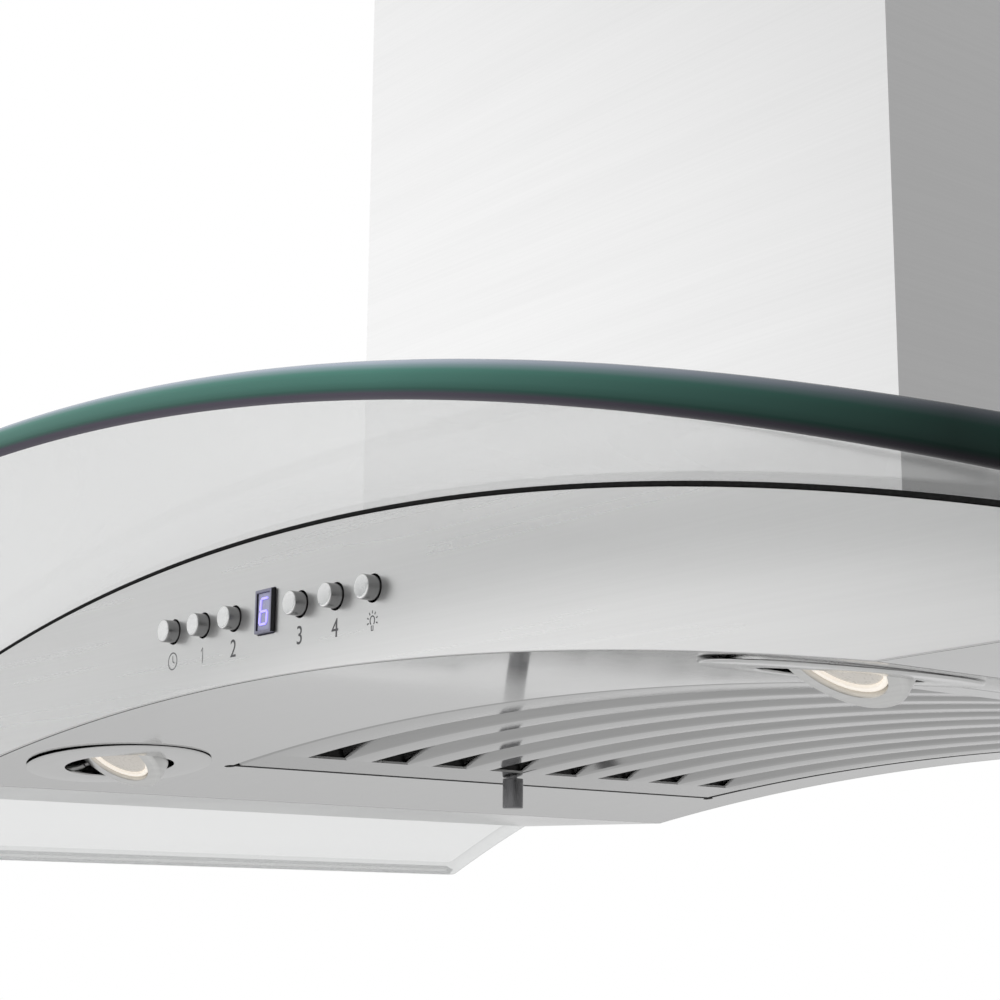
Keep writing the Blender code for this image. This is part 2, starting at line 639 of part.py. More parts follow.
def cutout_seal():
    """Rubber ring that fills the space between the curved glass and the flat blower plate."""
    radius = GLASS_RADIUS + GLASS_THICK + GAP
    half = 0.1350
    low = [(x, arc_z(x, TOP_CENTRE_Z, radius)) for x in spread(-half, half, 16)]
    outline = low + [(half, PLATE_Z - GAP), (-half, PLATE_Z - GAP)]
    made = prism("cutout_seal", outline, "Y", -0.0860, 0.0860, black_rubber("Seal rubber"))
    inner_x, inner_y_half = GLASS_CUTOUT[0] / 2 + 0.0012, GLASS_CUTOUT[1] / 2 + 0.0012
    cut(made, blocks("cut_seal", [((-inner_x, -inner_y_half, PLATE_Z - 0.05),
                                   (inner_x, inner_y_half, PLATE_Z + 0.02))],
                     None))


def plate_bolts():
    """Bolts that clamp the glass between the blower plate and the body's top plate."""
    low = arc_z(0.115, TOP_CENTRE_Z, TOP_RADIUS) - 0.010
    high = PLATE_Z + PLATE_THICK + GAP
    profile = [(0.0, low), (0.0025, low), (0.0025, high), (0.0045, high), (0.0045, high + 0.003),
               (0.0, high + 0.003)]
    for number, place in enumerate(bolt_places(), 1):
        lathe("plate_bolt_%d" % number, profile, 12, zinc_steel("Plate bolt steel %d" % number), [place])


def blower_housing():
    """Drum with a rounded inlet mouth in its floor, narrowing to the outlet spigot."""
    base = PLATE_Z + PLATE_THICK + GAP
    top, end = CREST_Z + DRUM_TOP_H, CREST_Z + SPIGOT_H
    wall = 0.0012
    cone = top + 0.020
    outer = [(0.0580, base), (DRUM_RADIUS, base), (DRUM_RADIUS, top), (DUCT_RADIUS, cone),
             (DUCT_RADIUS, end)]
    inner = [(DUCT_RADIUS - wall, end), (DUCT_RADIUS - wall, cone), (DRUM_RADIUS - wall, top),
             (DRUM_RADIUS - wall, base + wall), (0.0582, base + wall)]
    mouth = [(0.0530, base + 0.0050), (0.0512, base + 0.0120), (0.0500, base + 0.0120),
             (0.0520, base + 0.0045)]
    lathe("blower_housing", outer + inner + mouth, 32, zinc_steel("Housing steel"))


def impeller():
    """Backward-curved wheel: back disc with its hub, nine blades and a shroud."""
    low, high = CREST_Z + 0.0800, CREST_Z + 0.1180
    rim = 0.0740
    made = lathe("impeller", [(0.0044, high - 0.0140), (0.0100, high - 0.0140), (0.0120, high), (rim, high),
                              (rim, high + 0.0015), (0.0044, high + 0.0015)], 24,
                              grey_plastic("Wheel plastic"))
    mesh_data = bmesh.new()
    count = 9
    for i in range(count):
        start = 2 * pi * i / count
        spine = [(0.0530 + 0.0200 * t, start - 0.62 * t) for t in (0.0, 0.33, 0.67, 1.0)]
        near = [(r * cos(a), r * sin(a)) for r, a in spine]
        far = [((r + 0.0004) * cos(a + 0.022), (r + 0.0004) * sin(a + 0.022)) for r, a in spine]
        add_prism(mesh_data, near + far[::-1], "Z", low + 0.0006, high + 0.0007)
    cut(made, finish("join_blades", mesh_data, None), "UNION")
    shroud = [(0.0520, low), (rim, low), (rim, low + SHEET), (0.0520, low + SHEET)]
    cut(made, lathe("join_shroud", shroud, 24, None), "UNION")


def motor():
    """Motor above the wheel, and the shaft that turns in it."""
    low, high = CREST_Z + 0.1240, CREST_Z + 0.1850
    body = [(0.0050, low), (0.0300, low), (0.0380, low + 0.006), (0.0380, high - 0.006), (0.0300, high),
            (0.0, high), (0.0, low + 0.0160), (0.0050, low + 0.0160)]
    lathe("motor", body, 24, material("Motor paint", (0.10, 0.10, 0.11), 0.45, 0.6))
    shaft = rod_profile(0.0040, CREST_Z + 0.0990, low + 0.0150)
    lathe("motor_shaft", shaft, 20, polished_steel("Shaft steel"))


def motor_mount():
    """Ring round the motor with three arms out to the housing."""
    low, high = CREST_Z + 0.1500, CREST_Z + 0.1560
    ring = [(0.0384, low), (0.0440, low), (0.0440, high), (0.0384, high)]
    made = lathe("motor_mount", ring, 24, zinc_steel("Mount steel"))
    for i in range(3):
        arm = blocks("join_arm_%d" % (i + 1), [((0.0410, -0.006, low + 0.001),
                                                (DRUM_RADIUS - 0.0021, 0.006, high - 0.001))], None)
        arm.rotation_euler = (0.0, 0.0, 2 * pi * i / 3 + pi / 6)
        cut(made, arm, "UNION")


def duct_collar():
    """Outlet collar with a seat for the two damper flaps."""
    low, high = CREST_Z + SPIGOT_H + GAP, CREST_Z + COLLAR_TOP_H
    seat = CREST_Z + FLAP_H - 0.0016
    wall = 0.0012
    profile = [(DUCT_RADIUS - wall, low), (DUCT_RADIUS, low), (DUCT_RADIUS, high),
               (DUCT_RADIUS - wall, high), (DUCT_RADIUS - wall, seat), (0.0690, seat),
               (0.0690, seat - 0.002),
               (DUCT_RADIUS - wall, seat - 0.002)]
    lathe("duct_collar", profile, 32, grey_plastic("Collar plastic", (0.06, 0.06, 0.06)))


def damper():
    """Two half-round flaps that lift about one cross rod."""
    z = CREST_Z + FLAP_H
    radius, inner, half_thick = 0.0715, 0.0022, 0.0005
    limit = acos(inner / radius)
    arc = [(radius * cos(a), radius * sin(a)) for a in spread(-limit, limit, 20)]
    for side, sign in SIDES.items():
        made = prism("damper_flap_" + side, [(sign * x, y) for x, y in arc], "Z", z - half_thick,
                     z + half_thick, grey_plastic("Flap plastic " + side))
        hinge_on(made, (0.0, 0.0, z))
    lathe("damper_rod", rod_profile(0.0012, -0.0731, 0.0731), 12, zinc_steel("Damper rod steel"),
          [along_y(0.0, 0.0, z)])


# Electrics.

def electrics():
    """Run capacitor and junction box beside the housing, power supply in the body, and the cable gland."""
    base = PLATE_Z + PLATE_THICK + GAP
    lathe("capacitor", rod_profile(0.0140, base, base + 0.055), 24,
          grey_plastic("Capacitor can", (0.55, 0.55, 0.55)),
          [Matrix.Translation((0.1145, 0.0, 0.0))])
    box_top = base + 0.060
    blocks("junction_box", [((-0.1290, -0.030, base), (-0.0990, 0.030, box_top))],
           grey_plastic("Box plastic", (0.05, 0.05, 0.05)))
    low = box_top + GAP
    gland = [(0.0038, low), (0.0095, low), (0.0095, low + 0.006), (0.0075, low + 0.006),
             (0.0075, low + 0.014),
             (0.0060, low + 0.018), (0.0038, low + 0.018)]
    lathe("cable_gland", gland, 18, grey_plastic("Gland plastic", (0.05, 0.05, 0.05)),
          [Matrix.Translation((-0.1140, 0.0, 0.0))])
    blocks("power_supply", [((-0.2420, -0.090, CREST_Z - 0.0110), (-0.2040, 0.050, CREST_Z + 0.0120))],
           grey_plastic("Supply plastic", (0.70, 0.70, 0.68)))


# Chimney and ceiling frame.

def lower_chimney():
    """Lower cover: a square tube whose lower edge follows the glass."""
    half_wide, half_deep = CHIMNEY[0] / 2, CHIMNEY[1] / 2
    radius = GLASS_RADIUS + GLASS_THICK + GAP
    low = [(x, arc_z(x, TOP_CENTRE_Z, radius)) for x in spread(-half_wide, half_wide, 16)]
    outline = low + [(half_wide, LOWER_COVER_TOP), (-half_wide, LOWER_COVER_TOP)]
    made = prism("lower_chimney", outline, "Y", -half_deep, half_deep, brushed_steel("Lower cover steel"))
    wall = CHIMNEY_WALL
    cut(made, blocks("cut_lower_chimney", [((-half_wide + wall, -half_deep + wall, CREST_Z),
                                            (half_wide - wall, half_deep - wall, LOWER_COVER_TOP + 0.01))],
                                            None))


def upper_chimney():
    """Upper cover, which slides inside the lower one."""
    inset = CHIMNEY_WALL + 0.0020
    wide, deep = CHIMNEY[0] / 2 - inset, CHIMNEY[1] / 2 - inset
    made = blocks("upper_chimney", [((-wide, -deep, UPPER_COVER_BOTTOM), (wide, deep, UPPER_COVER_TOP))],
                  brushed_steel("Upper cover steel"))
    wall = 0.0008
    cut(made, blocks("cut_upper_chimney", [((-wide + wall, -deep + wall, UPPER_COVER_BOTTOM - 0.01),
                                            (wide - wall, deep - wall, UPPER_COVER_TOP + 0.01))], None))


def corner_frame(name, corner, low, high, hole_levels):
    """Four corner angles joined by a band at each end, bored along X: a square tube with open sides."""
    x, y = corner
    made = blocks(name, [((-x, -y, low), (x, y, high))], zinc_steel(name + " steel"))
    inner_x, inner_y_half = x - POST_THICK, y - POST_THICK
    past = 0.01
    cut(made, blocks("cut_inside_" + name, [((-inner_x, -inner_y_half, low - past),
                                             (inner_x, inner_y_half, high + past))], None))
    leg, band = POST_LEG, BAND_TALL
    cut(made, blocks("cut_front_" + name, [((-x + leg, -y - past, low + band),
                                            (x - leg, y + past, high - band))], None))
    cut(made, blocks("cut_sides_" + name, [((-x - past, -y + leg, low + band),
                                            (x + past, y - leg, high - band))], None))
    places = [place for z in hole_levels for place in side_bolt_places(z)]
    cut(made, lathe("cut_bores_" + name, rod_profile(0.0023, -0.2, 0.2), 10, None, places))


def frames():
    """Lower and upper frames, lapped, so that the height adjusts."""
    inset = POST_THICK + GAP
    upper_corner = (POST_CORNER[0] - inset, POST_CORNER[1] - inset)
    lap = [FRAME_LAP_BOTTOM + 0.010, FRAME_LAP_TOP - 0.010]
    corner_frame("lower_frame", POST_CORNER, PLATE_Z + 0.002, FRAME_LAP_TOP, [PLATE_Z + 0.015] + lap)
    corner_frame("upper_frame", upper_corner, FRAME_LAP_BOTTOM, -0.0010, lap + [-0.015])


def ceiling_bracket():
    half = POST_CORNER[0] - 2 * (POST_THICK + GAP)
    made = channel("ceiling_bracket", 0.0, -0.030, half, 0.0835, 0.0025, zinc_steel("Bracket steel"))
    cut(made, lathe("cut_bracket_duct", rod_profile(0.0765, -0.01, 0.01), 32, None))
    holes = [Matrix.Translation((x, y, 0.0)) for x in (-0.112, 0.112) for y in (-0.060, 0.060)]
    cut(made, lathe("cut_bracket_screws", rod_profile(0.0035, -0.01, 0.01), 14, None, holes))
    cut(made, lathe("cut_bracket_sides", rod_profile(0.0023, -0.2, 0.2), 10, None, side_bolt_places(-0.015)))


def build():
    for old in list(bpy.data.objects):
        bpy.data.objects.remove(old)
    for step in (front_fascia, rear_panel, top_plate, underside_panel, end_panels, glass_canopy,
                 glass_gaskets,
                 buttons, button_holder, control_board, display, lamps, filter_tray,
                 filter_baffles, filter_knob, filter_catch, filter_hinge_rod, pin_brackets,
                 filter_stops, blower_plate, inlet_neck, cutout_seal, plate_bolts, blower_housing,
                 impeller, motor, motor_mount, duct_collar, damper, electrics, lower_chimney, upper_chimney,
                 frames, ceiling_bracket):
        step()


if __name__ == "__main__":
    build()
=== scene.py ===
"""Finished model of an island range hood: fine sheet metal, glass, lamps and controls over the fixed frame.

Metres, +Z up, front facing -Y, origin on the ceiling over the middle of the chimney.
"""
import json
from math import asin, cos, pi, radians, sin

import bmesh
import bpy
from mathutils import Euler, Matrix, Vector


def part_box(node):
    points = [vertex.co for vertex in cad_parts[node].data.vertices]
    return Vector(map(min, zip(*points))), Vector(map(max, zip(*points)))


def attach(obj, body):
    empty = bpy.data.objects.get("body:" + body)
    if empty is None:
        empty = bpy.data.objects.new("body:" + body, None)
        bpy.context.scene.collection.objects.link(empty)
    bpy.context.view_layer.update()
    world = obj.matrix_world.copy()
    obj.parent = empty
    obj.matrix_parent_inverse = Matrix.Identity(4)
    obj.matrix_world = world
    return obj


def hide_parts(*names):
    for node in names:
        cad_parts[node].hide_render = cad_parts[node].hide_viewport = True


bl_info = {
    "name": "Island Hood Maker",
    "version": (1, 0, 0),
    "blender": (4, 5, 0),
    "location": "3D View > Sidebar > Hood",
    "description": "Builds the glass, steel, lamps and controls of an island range hood over its frame",
    "category": "Object",
}

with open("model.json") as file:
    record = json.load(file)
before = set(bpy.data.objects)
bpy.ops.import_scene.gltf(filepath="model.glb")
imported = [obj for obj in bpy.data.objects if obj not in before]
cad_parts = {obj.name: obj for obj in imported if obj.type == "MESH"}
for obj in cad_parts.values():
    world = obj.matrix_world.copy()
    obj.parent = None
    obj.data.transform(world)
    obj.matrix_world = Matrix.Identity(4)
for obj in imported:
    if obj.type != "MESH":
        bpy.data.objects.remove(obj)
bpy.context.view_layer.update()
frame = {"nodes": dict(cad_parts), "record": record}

TOP_RADIUS = 1.1325         # curve of the fascia's top edge
LOW_RADIUS = 1.570          # curve of the underside
GLASS_RISE = 0.0018         # glass above the top edge
GLASS_THICK = 0.0085
GLASS_HALF = 0.450          # half its length
CUTOUT = (0.125, 0.082)     # half sizes of the opening round the chimney
DISPLAY = (0.0105, 0.0150)  # width and height of its window
BUTTON_HOLE = 0.0044        # radius
LAMP_HOLE = 0.0315          # radius
LAMP_TILT = radians(33.0)   # beam turned towards the front
LAMP_PIVOT = 0.005          # height of the pivot above the underside
CORNER_RELIEF = 0.0025      # radius of the round corners of the filter's opening
BUTTON_PITCH = 0.020
BUTTONS = {"button_timer": -3, "button_speed_1": -2, "button_speed_2": -1,
           "button_speed_3": 1, "button_speed_4": 2, "button_light": 3}
SIDES = {"left": -1, "right": 1}

FRONT_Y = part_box("front_fascia")[0].y
REAR_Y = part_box("rear_panel")[1].y
TIP_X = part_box("front_fascia")[1].x
KINK_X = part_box("underside_panel")[1].x + 0.0003
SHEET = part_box("front_fascia")[1].y - FRONT_Y
CREST_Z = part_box("underside_panel")[1].z - SHEET
TOP_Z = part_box("front_fascia")[1].z - TOP_RADIUS    # centres of the two curves
LOW_Z = CREST_Z - LOW_RADIUS
GLASS_LOW, GLASS_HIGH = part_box("glass_canopy")
BUTTON_Z = (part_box("button_timer")[0].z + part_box("button_timer")[1].z) / 2
CONTROLS_X = (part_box("display_bezel")[0].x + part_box("display_bezel")[1].x) / 2
LAMP_X = 0.196
SEAM = 0.0020               # gap round the filter


class HoodFinishes(bpy.types.PropertyGroup):
    """Colours and lights of the hood."""
    steel: bpy.props.FloatVectorProperty(
        name="Steel", description="Colour of the brushed and polished steel", subtype="COLOR",
        default=(0.655, 0.655, 0.652), min=0.0, max=1.0)
    cover_steel: bpy.props.FloatVectorProperty(
        name="Cover steel", description="Colour of the chimney covers", subtype="COLOR",
        default=(0.80, 0.80, 0.80), min=0.0, max=1.0)
    edge_green: bpy.props.FloatVectorProperty(
        name="Glass edge, upper", description="Green of the glass edge", subtype="COLOR",
        default=(0.014, 0.042, 0.034), min=0.0, max=1.0)
    # Painted shade for the downward faces of the glass edge.
    edge_painted_shade: bpy.props.FloatVectorProperty(
        name="Glass edge, painted shade below", description="Painted shade on the lower faces of the glass edge", subtype="COLOR",
        default=(0.036, 0.032, 0.043), min=0.0, max=1.0)
    lamp_light: bpy.props.FloatVectorProperty(
        name="Lamp light", description="Warm colour of the lamps", subtype="COLOR",
        default=(1.0, 0.90, 0.78), min=0.0, max=1.0)
    lamp_strength: bpy.props.FloatProperty(
        name="Lamp strength", description="Brightness of the lamp lenses", default=0.50, min=0.0)
    digit_light: bpy.props.FloatVectorProperty(
        name="Digit", description="Colour of the display's digit", subtype="COLOR",
        default=(0.36, 0.30, 0.95), min=0.0, max=1.0)


class HoodDetails(bpy.types.PropertyGroup):
    """Fineness and small sizes."""
    arc_steps: bpy.props.IntProperty(
        name="Arc steps", description="Steps along each curved piece", default=120, min=16)
    turn_steps: bpy.props.IntProperty(
        name="Turning steps", description="Steps round each turned piece", default=72, min=12)
    sheet_edge: bpy.props.FloatProperty(
        name="Sheet edge", description="Rounding on the edges of sheet metal", default=0.0003,
        min=0.00005, unit="LENGTH")
    part_edge: bpy.props.FloatProperty(
        name="Part edge", description="Rounding on the edges of inner parts", default=0.0005,
        min=0.00005, unit="LENGTH")
    fold_radius: bpy.props.FloatProperty(
        name="Fold radius", description="Outer radius of the filter's folds", default=0.0016,
        min=0.0002, unit="LENGTH")
    mark_height: bpy.props.FloatProperty(
        name="Mark height", description="Height of the figures under the buttons", default=0.0056,
        min=0.001, unit="LENGTH")
    mark_drop: bpy.props.FloatProperty(
        name="Mark drop", description="From the buttons' middle to the figures' middle", default=0.0103,
        min=0.001, unit="LENGTH")


class HoodStage(bpy.types.PropertyGroup):
    """Camera, floor and soft light."""
    camera_place: bpy.props.FloatVectorProperty(
        name="Camera", description="Where the camera stands", subtype="TRANSLATION", unit="LENGTH",
        default=(0.5516, -0.5836, -0.8820))
    heading: bpy.props.FloatProperty(
        name="Heading", description="Turn to the left of straight ahead", unit="ROTATION",
        default=radians(51.38))
    pitch: bpy.props.FloatProperty(
        name="Pitch", description="Tilt upwards", unit="ROTATION", default=radians(12.27))
    roll: bpy.props.FloatProperty(
        name="Roll", description="Turn about the line of sight", unit="ROTATION", default=radians(0.47))
    lens: bpy.props.FloatProperty(
        name="Lens", description="Focal length in millimetres", default=72.70, min=10.0)
    floor_z: bpy.props.FloatProperty(
        name="Floor", description="Height of the floor", default=-4.0, unit="LENGTH")
    front_light: bpy.props.FloatProperty(
        name="Front light", description="Brightness towards the front left", default=1.00, min=0.0)
    back_light: bpy.props.FloatProperty(
        name="Back light", description="Brightness towards the back right", default=0.42, min=0.0)


# Materials.

def shader_of(made):
    return made.node_tree.nodes["Principled BSDF"]


def start_material(name, colour, roughness, metallic=0.0):
    """A Principled material with its fixed values set on the shader's own sockets."""
    made = bpy.data.materials.new(name)
    made.use_nodes = True
    shader = shader_of(made)
    shader.inputs["Base Color"].default_value = (*colour, 1.0)
    shader.inputs["Roughness"].default_value = roughness
    shader.inputs["Metallic"].default_value = metallic
    return made


def pattern(made, stretch, scale, kind="NOISE", detail=4.0):
    """A texture over the piece's own coordinates, and the output that carries its value."""
    nodes, links = made.node_tree.nodes, made.node_tree.links
    place = nodes.new("ShaderNodeTexCoord")
    mapping = nodes.new("ShaderNodeMapping")
    mapping.inputs["Scale"].default_value = stretch
    links.new(place.outputs["Object"], mapping.inputs["Vector"])
    if kind == "CELLS":
        texture = nodes.new("ShaderNodeTexVoronoi")
        result = texture.outputs["Color"]
    else:
        texture = nodes.new("ShaderNodeTexNoise")
        texture.inputs["Detail"].default_value = detail
        texture.inputs["Roughness"].default_value = 0.6
        result = texture.outputs["Fac"]
    texture.inputs["Scale"].default_value = scale
    links.new(mapping.outputs["Vector"], texture.inputs["Vector"])
    return result


def ranged(tree, source, from_range, to_range):
    """Carry a value from one range to another, and return the output that holds it."""
    node = tree.nodes.new("ShaderNodeMapRange")
    node.inputs["From Min"].default_value, node.inputs["From Max"].default_value = from_range
    node.inputs["To Min"].default_value, node.inputs["To Max"].default_value = to_range
    tree.links.new(source, node.inputs["Value"])
    return node.outputs["Result"]


def vary(made, source, socket, low, high, start=0.35, end=0.65):
    """Drive a shader socket between two values or colours by a pattern."""
    nodes, links = made.node_tree.nodes, made.node_tree.links
    if socket == "Base Color":
        ramp = nodes.new("ShaderNodeValToRGB")
        ramp.color_ramp.elements[0].position = start
        ramp.color_ramp.elements[1].position = end
        ramp.color_ramp.elements[0].color = (*low, 1.0)
        ramp.color_ramp.elements[1].color = (*high, 1.0)
        links.new(source, ramp.inputs["Fac"])
        links.new(ramp.outputs["Color"], shader_of(made).inputs[socket])
        return
    links.new(ranged(made.node_tree, source, (start, end), (low, high)), shader_of(made).inputs[socket])


def raise_surface(made, source, strength, depth):
    """Small relief from a pattern."""
    nodes, links = made.node_tree.nodes, made.node_tree.links
    bump = nodes.new("ShaderNodeBump")
    bump.inputs["Strength"].default_value = strength
    bump.inputs["Distance"].default_value = depth
    links.new(source, bump.inputs["Height"])
    links.new(bump.outputs["Normal"], shader_of(made).inputs["Normal"])


def tint(colour, factor):
    """A colour made lighter or darker."""
    return tuple(min(1.0, part * factor) for part in colour)


def brushed_steel(name, colour, roughness=0.30, strength=0.12, contrast=0.035):
    """Sheet steel with a fine level grain, as a belt leaves it."""
    made = start_material(name, colour, roughness, 1.0)
    fine = pattern(made, (9.0, 9.0, 1000.0), 1.0, detail=2.0)
    broad = pattern(made, (3.0, 3.0, 140.0), 1.0, detail=2.0)
    vary(made, fine, "Base Color", tint(colour, 1.0 - contrast), tint(colour, 1.0 + contrast))
    vary(made, broad, "Roughness", roughness - 0.01, roughness + 0.02)
    raise_surface(made, broad, strength, 0.00005)
    return made


def polished_steel(name, colour, roughness=0.12, strength=0.05):
    """Bright steel with a faint grain along its length and a few wiping marks."""
    made = start_material(name, colour, roughness, 1.0)
    grain = pattern(made, (8.0, 1500.0, 300.0), 1.0, detail=3.0)
    wiped = pattern(made, (6.0, 14.0, 6.0), 1.0, detail=5.0)
    vary(made, grain, "Base Color", tint(colour, 0.97), tint(colour, 1.02))
    vary(made, wiped, "Roughness", roughness - 0.02, roughness + 0.05, 0.4, 0.75)
    raise_surface(made, grain, strength, 0.00004)
    return made


def zinc_steel(name):
    """Zinc-plated sheet with its crystal pattern."""
    colour = (0.45, 0.46, 0.47)
    made = start_material(name, colour, 0.42, 1.0)
    crystals = pattern(made, (1.0, 1.0, 1.0), 160.0, "CELLS")
    dull = pattern(made, (1.0, 1.0, 1.0), 40.0, detail=5.0)
    vary(made, crystals, "Base Color", tint(colour, 0.88), tint(colour, 1.12), 0.1, 0.9)
    vary(made, dull, "Roughness", 0.34, 0.52)
    raise_surface(made, dull, 0.08, 0.0001)
    return made


def moulded_plastic(name, colour, roughness=0.5):
    """Moulded plastic with a fine eroded skin."""
    made = start_material(name, colour, roughness)
    skin = pattern(made, (1.0, 1.0, 1.0), 1400.0, detail=3.0)
    worn = pattern(made, (1.0, 1.0, 1.0), 30.0, detail=4.0)
    vary(made, worn, "Base Color", tint(colour, 0.9), tint(colour, 1.12))
    vary(made, worn, "Roughness", roughness - 0.06, roughness + 0.08)
    raise_surface(made, skin, 0.15, 0.00008)
    return made


def soft_rubber(name):
    """Dull black seal rubber."""
    made = start_material(name, (0.010, 0.010, 0.010), 0.75)
    shader_of(made).inputs["Specular IOR Level"].default_value = 0.08
    skin = pattern(made, (1.0, 1.0, 1.0), 900.0, detail=4.0)
    vary(made, skin, "Base Color", (0.006, 0.006, 0.006), (0.016, 0.016, 0.016))
    vary(made, skin, "Roughness", 0.65, 0.85)
    raise_surface(made, skin, 0.2, 0.0001)
    return made


def enamel(name, colour):
    """Sprayed paint with a slight orange peel."""
    made = start_material(name, colour, 0.35, 0.3)
    peel = pattern(made, (1.0, 1.0, 1.0), 420.0, detail=2.0)
    vary(made, peel, "Base Color", tint(colour, 0.9), tint(colour, 1.1))
    vary(made, peel, "Roughness", 0.28, 0.42)
    raise_surface(made, peel, 0.15, 0.0002)
    return made


def clear_glass(name, most_open=0.09):
    """Clear sheet: nearly open when seen square on, a little denser at a flat angle."""
    made = start_material(name, (0.50, 0.52, 0.515), 0.02)
    nodes, links = made.node_tree.nodes, made.node_tree.links
    facing = nodes.new("ShaderNodeLayerWeight")
    facing.inputs["Blend"].default_value = 0.5
    haze = pattern(made, (1.0, 1.0, 1.0), 9.0, detail=4.0)
    vary(made, haze, "Roughness", 0.015, 0.05)
    cover = ranged(made.node_tree, facing.outputs["Facing"], (0.3, 1.0), (most_open, most_open + 0.22))
    links.new(cover, shader_of(made).inputs["Alpha"])
    made.surface_render_method = "BLENDED"
    return made


def glass_edge(name, green, dark):
    """Ground and polished green edge with painted light: painted shade on the lower faces, a painted
    brighter band and a painted pale highlight on the upper faces, and painted shade darker towards the right
    end.
    """
    made = start_material(name, green, 0.16)
    nodes, links = made.node_tree.nodes, made.node_tree.links
    geometry = nodes.new("ShaderNodeNewGeometry")
    split = nodes.new("ShaderNodeSeparateXYZ")
    links.new(geometry.outputs["Normal"], split.inputs["Vector"])
    # Painted light by the way each face turns: painted shade facing down, the green in between, a painted
    # brighter green band and a painted pale highlight facing up.
    ramp = nodes.new("ShaderNodeValToRGB")
    ramp.color_ramp.elements[0].position = 0.20
    ramp.color_ramp.elements[0].color = (*dark, 1.0)
    ramp.color_ramp.elements[1].position = 0.34
    ramp.color_ramp.elements[1].color = (*green, 1.0)
    middle = ramp.color_ramp.elements.new(0.58)
    middle.color = (*tint(green, 1.9), 1.0)
    top = ramp.color_ramp.elements.new(0.86)
    top.color = (0.15, 0.17, 0.20, 1.0)
    shader_of(made).inputs["IOR"].default_value = 1.36
    shader_of(made).inputs["Specular IOR Level"].default_value = 0.10
    links.new(ranged(made.node_tree, split.outputs["Z"], (-1.0, 1.0), (0.0, 1.0)), ramp.inputs["Fac"])
    place = nodes.new("ShaderNodeTexCoord")
    along = nodes.new("ShaderNodeSeparateXYZ")
    links.new(place.outputs["Object"], along.inputs["Vector"])
    # Painted light and shade along the edge: colour scaled 2.3 times up to X 0.22, falling to a quarter by X
    # 0.37, so darker towards the right end.
    side = ranged(made.node_tree, along.outputs["X"], (0.22, 0.37), (2.3, 0.25))
    shade = nodes.new("ShaderNodeVectorMath")
    shade.operation = "SCALE"
    links.new(ramp.outputs["Color"], shade.inputs["Vector"])
    links.new(side, shade.inputs["Scale"])
    links.new(shade.outputs["Vector"], shader_of(made).inputs["Base Color"])
    ripple = pattern(made, (30.0, 400.0, 400.0), 1.0, detail=2.0)
    vary(made, ripple, "Roughness", 0.10, 0.24)
    raise_surface(made, ripple, 0.05, 0.0001)
    return made


def glowing(name, colour, strength, base):
    """A lit surface with a slight unevenness."""
    made = start_material(name, base, 0.30)
    shader = shader_of(made)
    cells = pattern(made, (1.0, 1.0, 1.0), 900.0, detail=2.0)
    vary(made, cells, "Roughness", 0.24, 0.40)
    shader.inputs["Emission Color"].default_value = (*colour, 1.0)
    shader.inputs["Emission Strength"].default_value = strength
    return made


# Geometry helpers.

def on_curve(x, rise, centre_z, radius):
    """Point of a curve across X, raised by a distance from it."""
    turn = asin(x / radius)
    return sin(turn) * (radius + rise), centre_z + cos(turn) * (radius + rise)


def spread(low, high, steps):
    return [low + (high - low) * i / steps for i in range(steps + 1)]


def rounded(points, radius, steps=4):
    """A closed outline with its corners rounded. A radius for each corner, or one for all."""
    radii = radius if isinstance(radius, (list, tuple)) else [radius] * len(points)
    made = []
    for i, point in enumerate(points):
        here = Vector(point)
        before, after = Vector(points[i - 1]), Vector(points[(i + 1) % len(points)])
        reach = min(radii[i], (before - here).length * 0.49, (after - here).length * 0.49)
        if reach <= 0.0:
            made.append(tuple(here))
            continue
        first = here + (before - here).normalized() * reach
        last = here + (after - here).normalized() * reach
        for t in spread(0.0, 1.0, steps):
            made.append(tuple(first * (1 - t) ** 2 + here * 2 * t * (1 - t) + last * t * t))
    return made


def join_rings(mesh_data, rings):
    """Close a run of equal rings into one body."""
    mesh_data.faces.new(rings[0])
    mesh_data.faces.new(list(reversed(rings[-1])))
    count = len(rings[0])
    for ring, after in zip(rings, rings[1:]):
        for i in range(count):
            j = (i + 1) % count
            mesh_data.faces.new((ring[i], ring[j], after[j], after[i]))


def add_sweep(mesh_data, section, low_x, high_x, centre_z, radius, steps):
    """Sweep a closed section of (y, rise) points along a curve in the XZ plane."""
    rings = []
    for x in spread(low_x, high_x, steps):
        ring = []
        for y, rise in section:
            px, pz = on_curve(x, rise, centre_z, radius)
            ring.append(mesh_data.verts.new((px, y, pz)))
        rings.append(ring)
    join_rings(mesh_data, rings)


def add_turned(mesh_data, profile, steps, place):
    """Turn a closed (radius, height) profile about the place's Z axis."""
    rings = []
    for radius, height in profile:
        if radius < 1e-7:
            rings.append([mesh_data.verts.new(place @ Vector((0.0, 0.0, height)))])
            continue
        rings.append([mesh_data.verts.new(place @ Vector((radius * cos(2 * pi * i / steps),
                                                          radius * sin(2 * pi * i / steps), height)))
                      for i in range(steps)])
    for first, second in zip(rings, rings[1:] + rings[:1]):
        if len(first) == 1 and len(second) == 1:
            continue
        for i in range(steps):
            j = (i + 1) % steps
            if len(first) == 1:
                mesh_data.faces.new((first[0], second[j], second[i]))
            elif len(second) == 1:
                mesh_data.faces.new((first[i], first[j], second[0]))
            else:
                mesh_data.faces.new((first[i], first[j], second[j], second[i]))


def add_box(mesh_data, low, high):
    made = bmesh.ops.create_cube(mesh_data, size=1.0)
    middle = (Vector(low) + Vector(high)) / 2
    size = Vector(high) - Vector(low)
    for vert in made["verts"]:
        vert.co = Vector((vert.co.x * size.x, vert.co.y * size.y, vert.co.z * size.z)) + middle


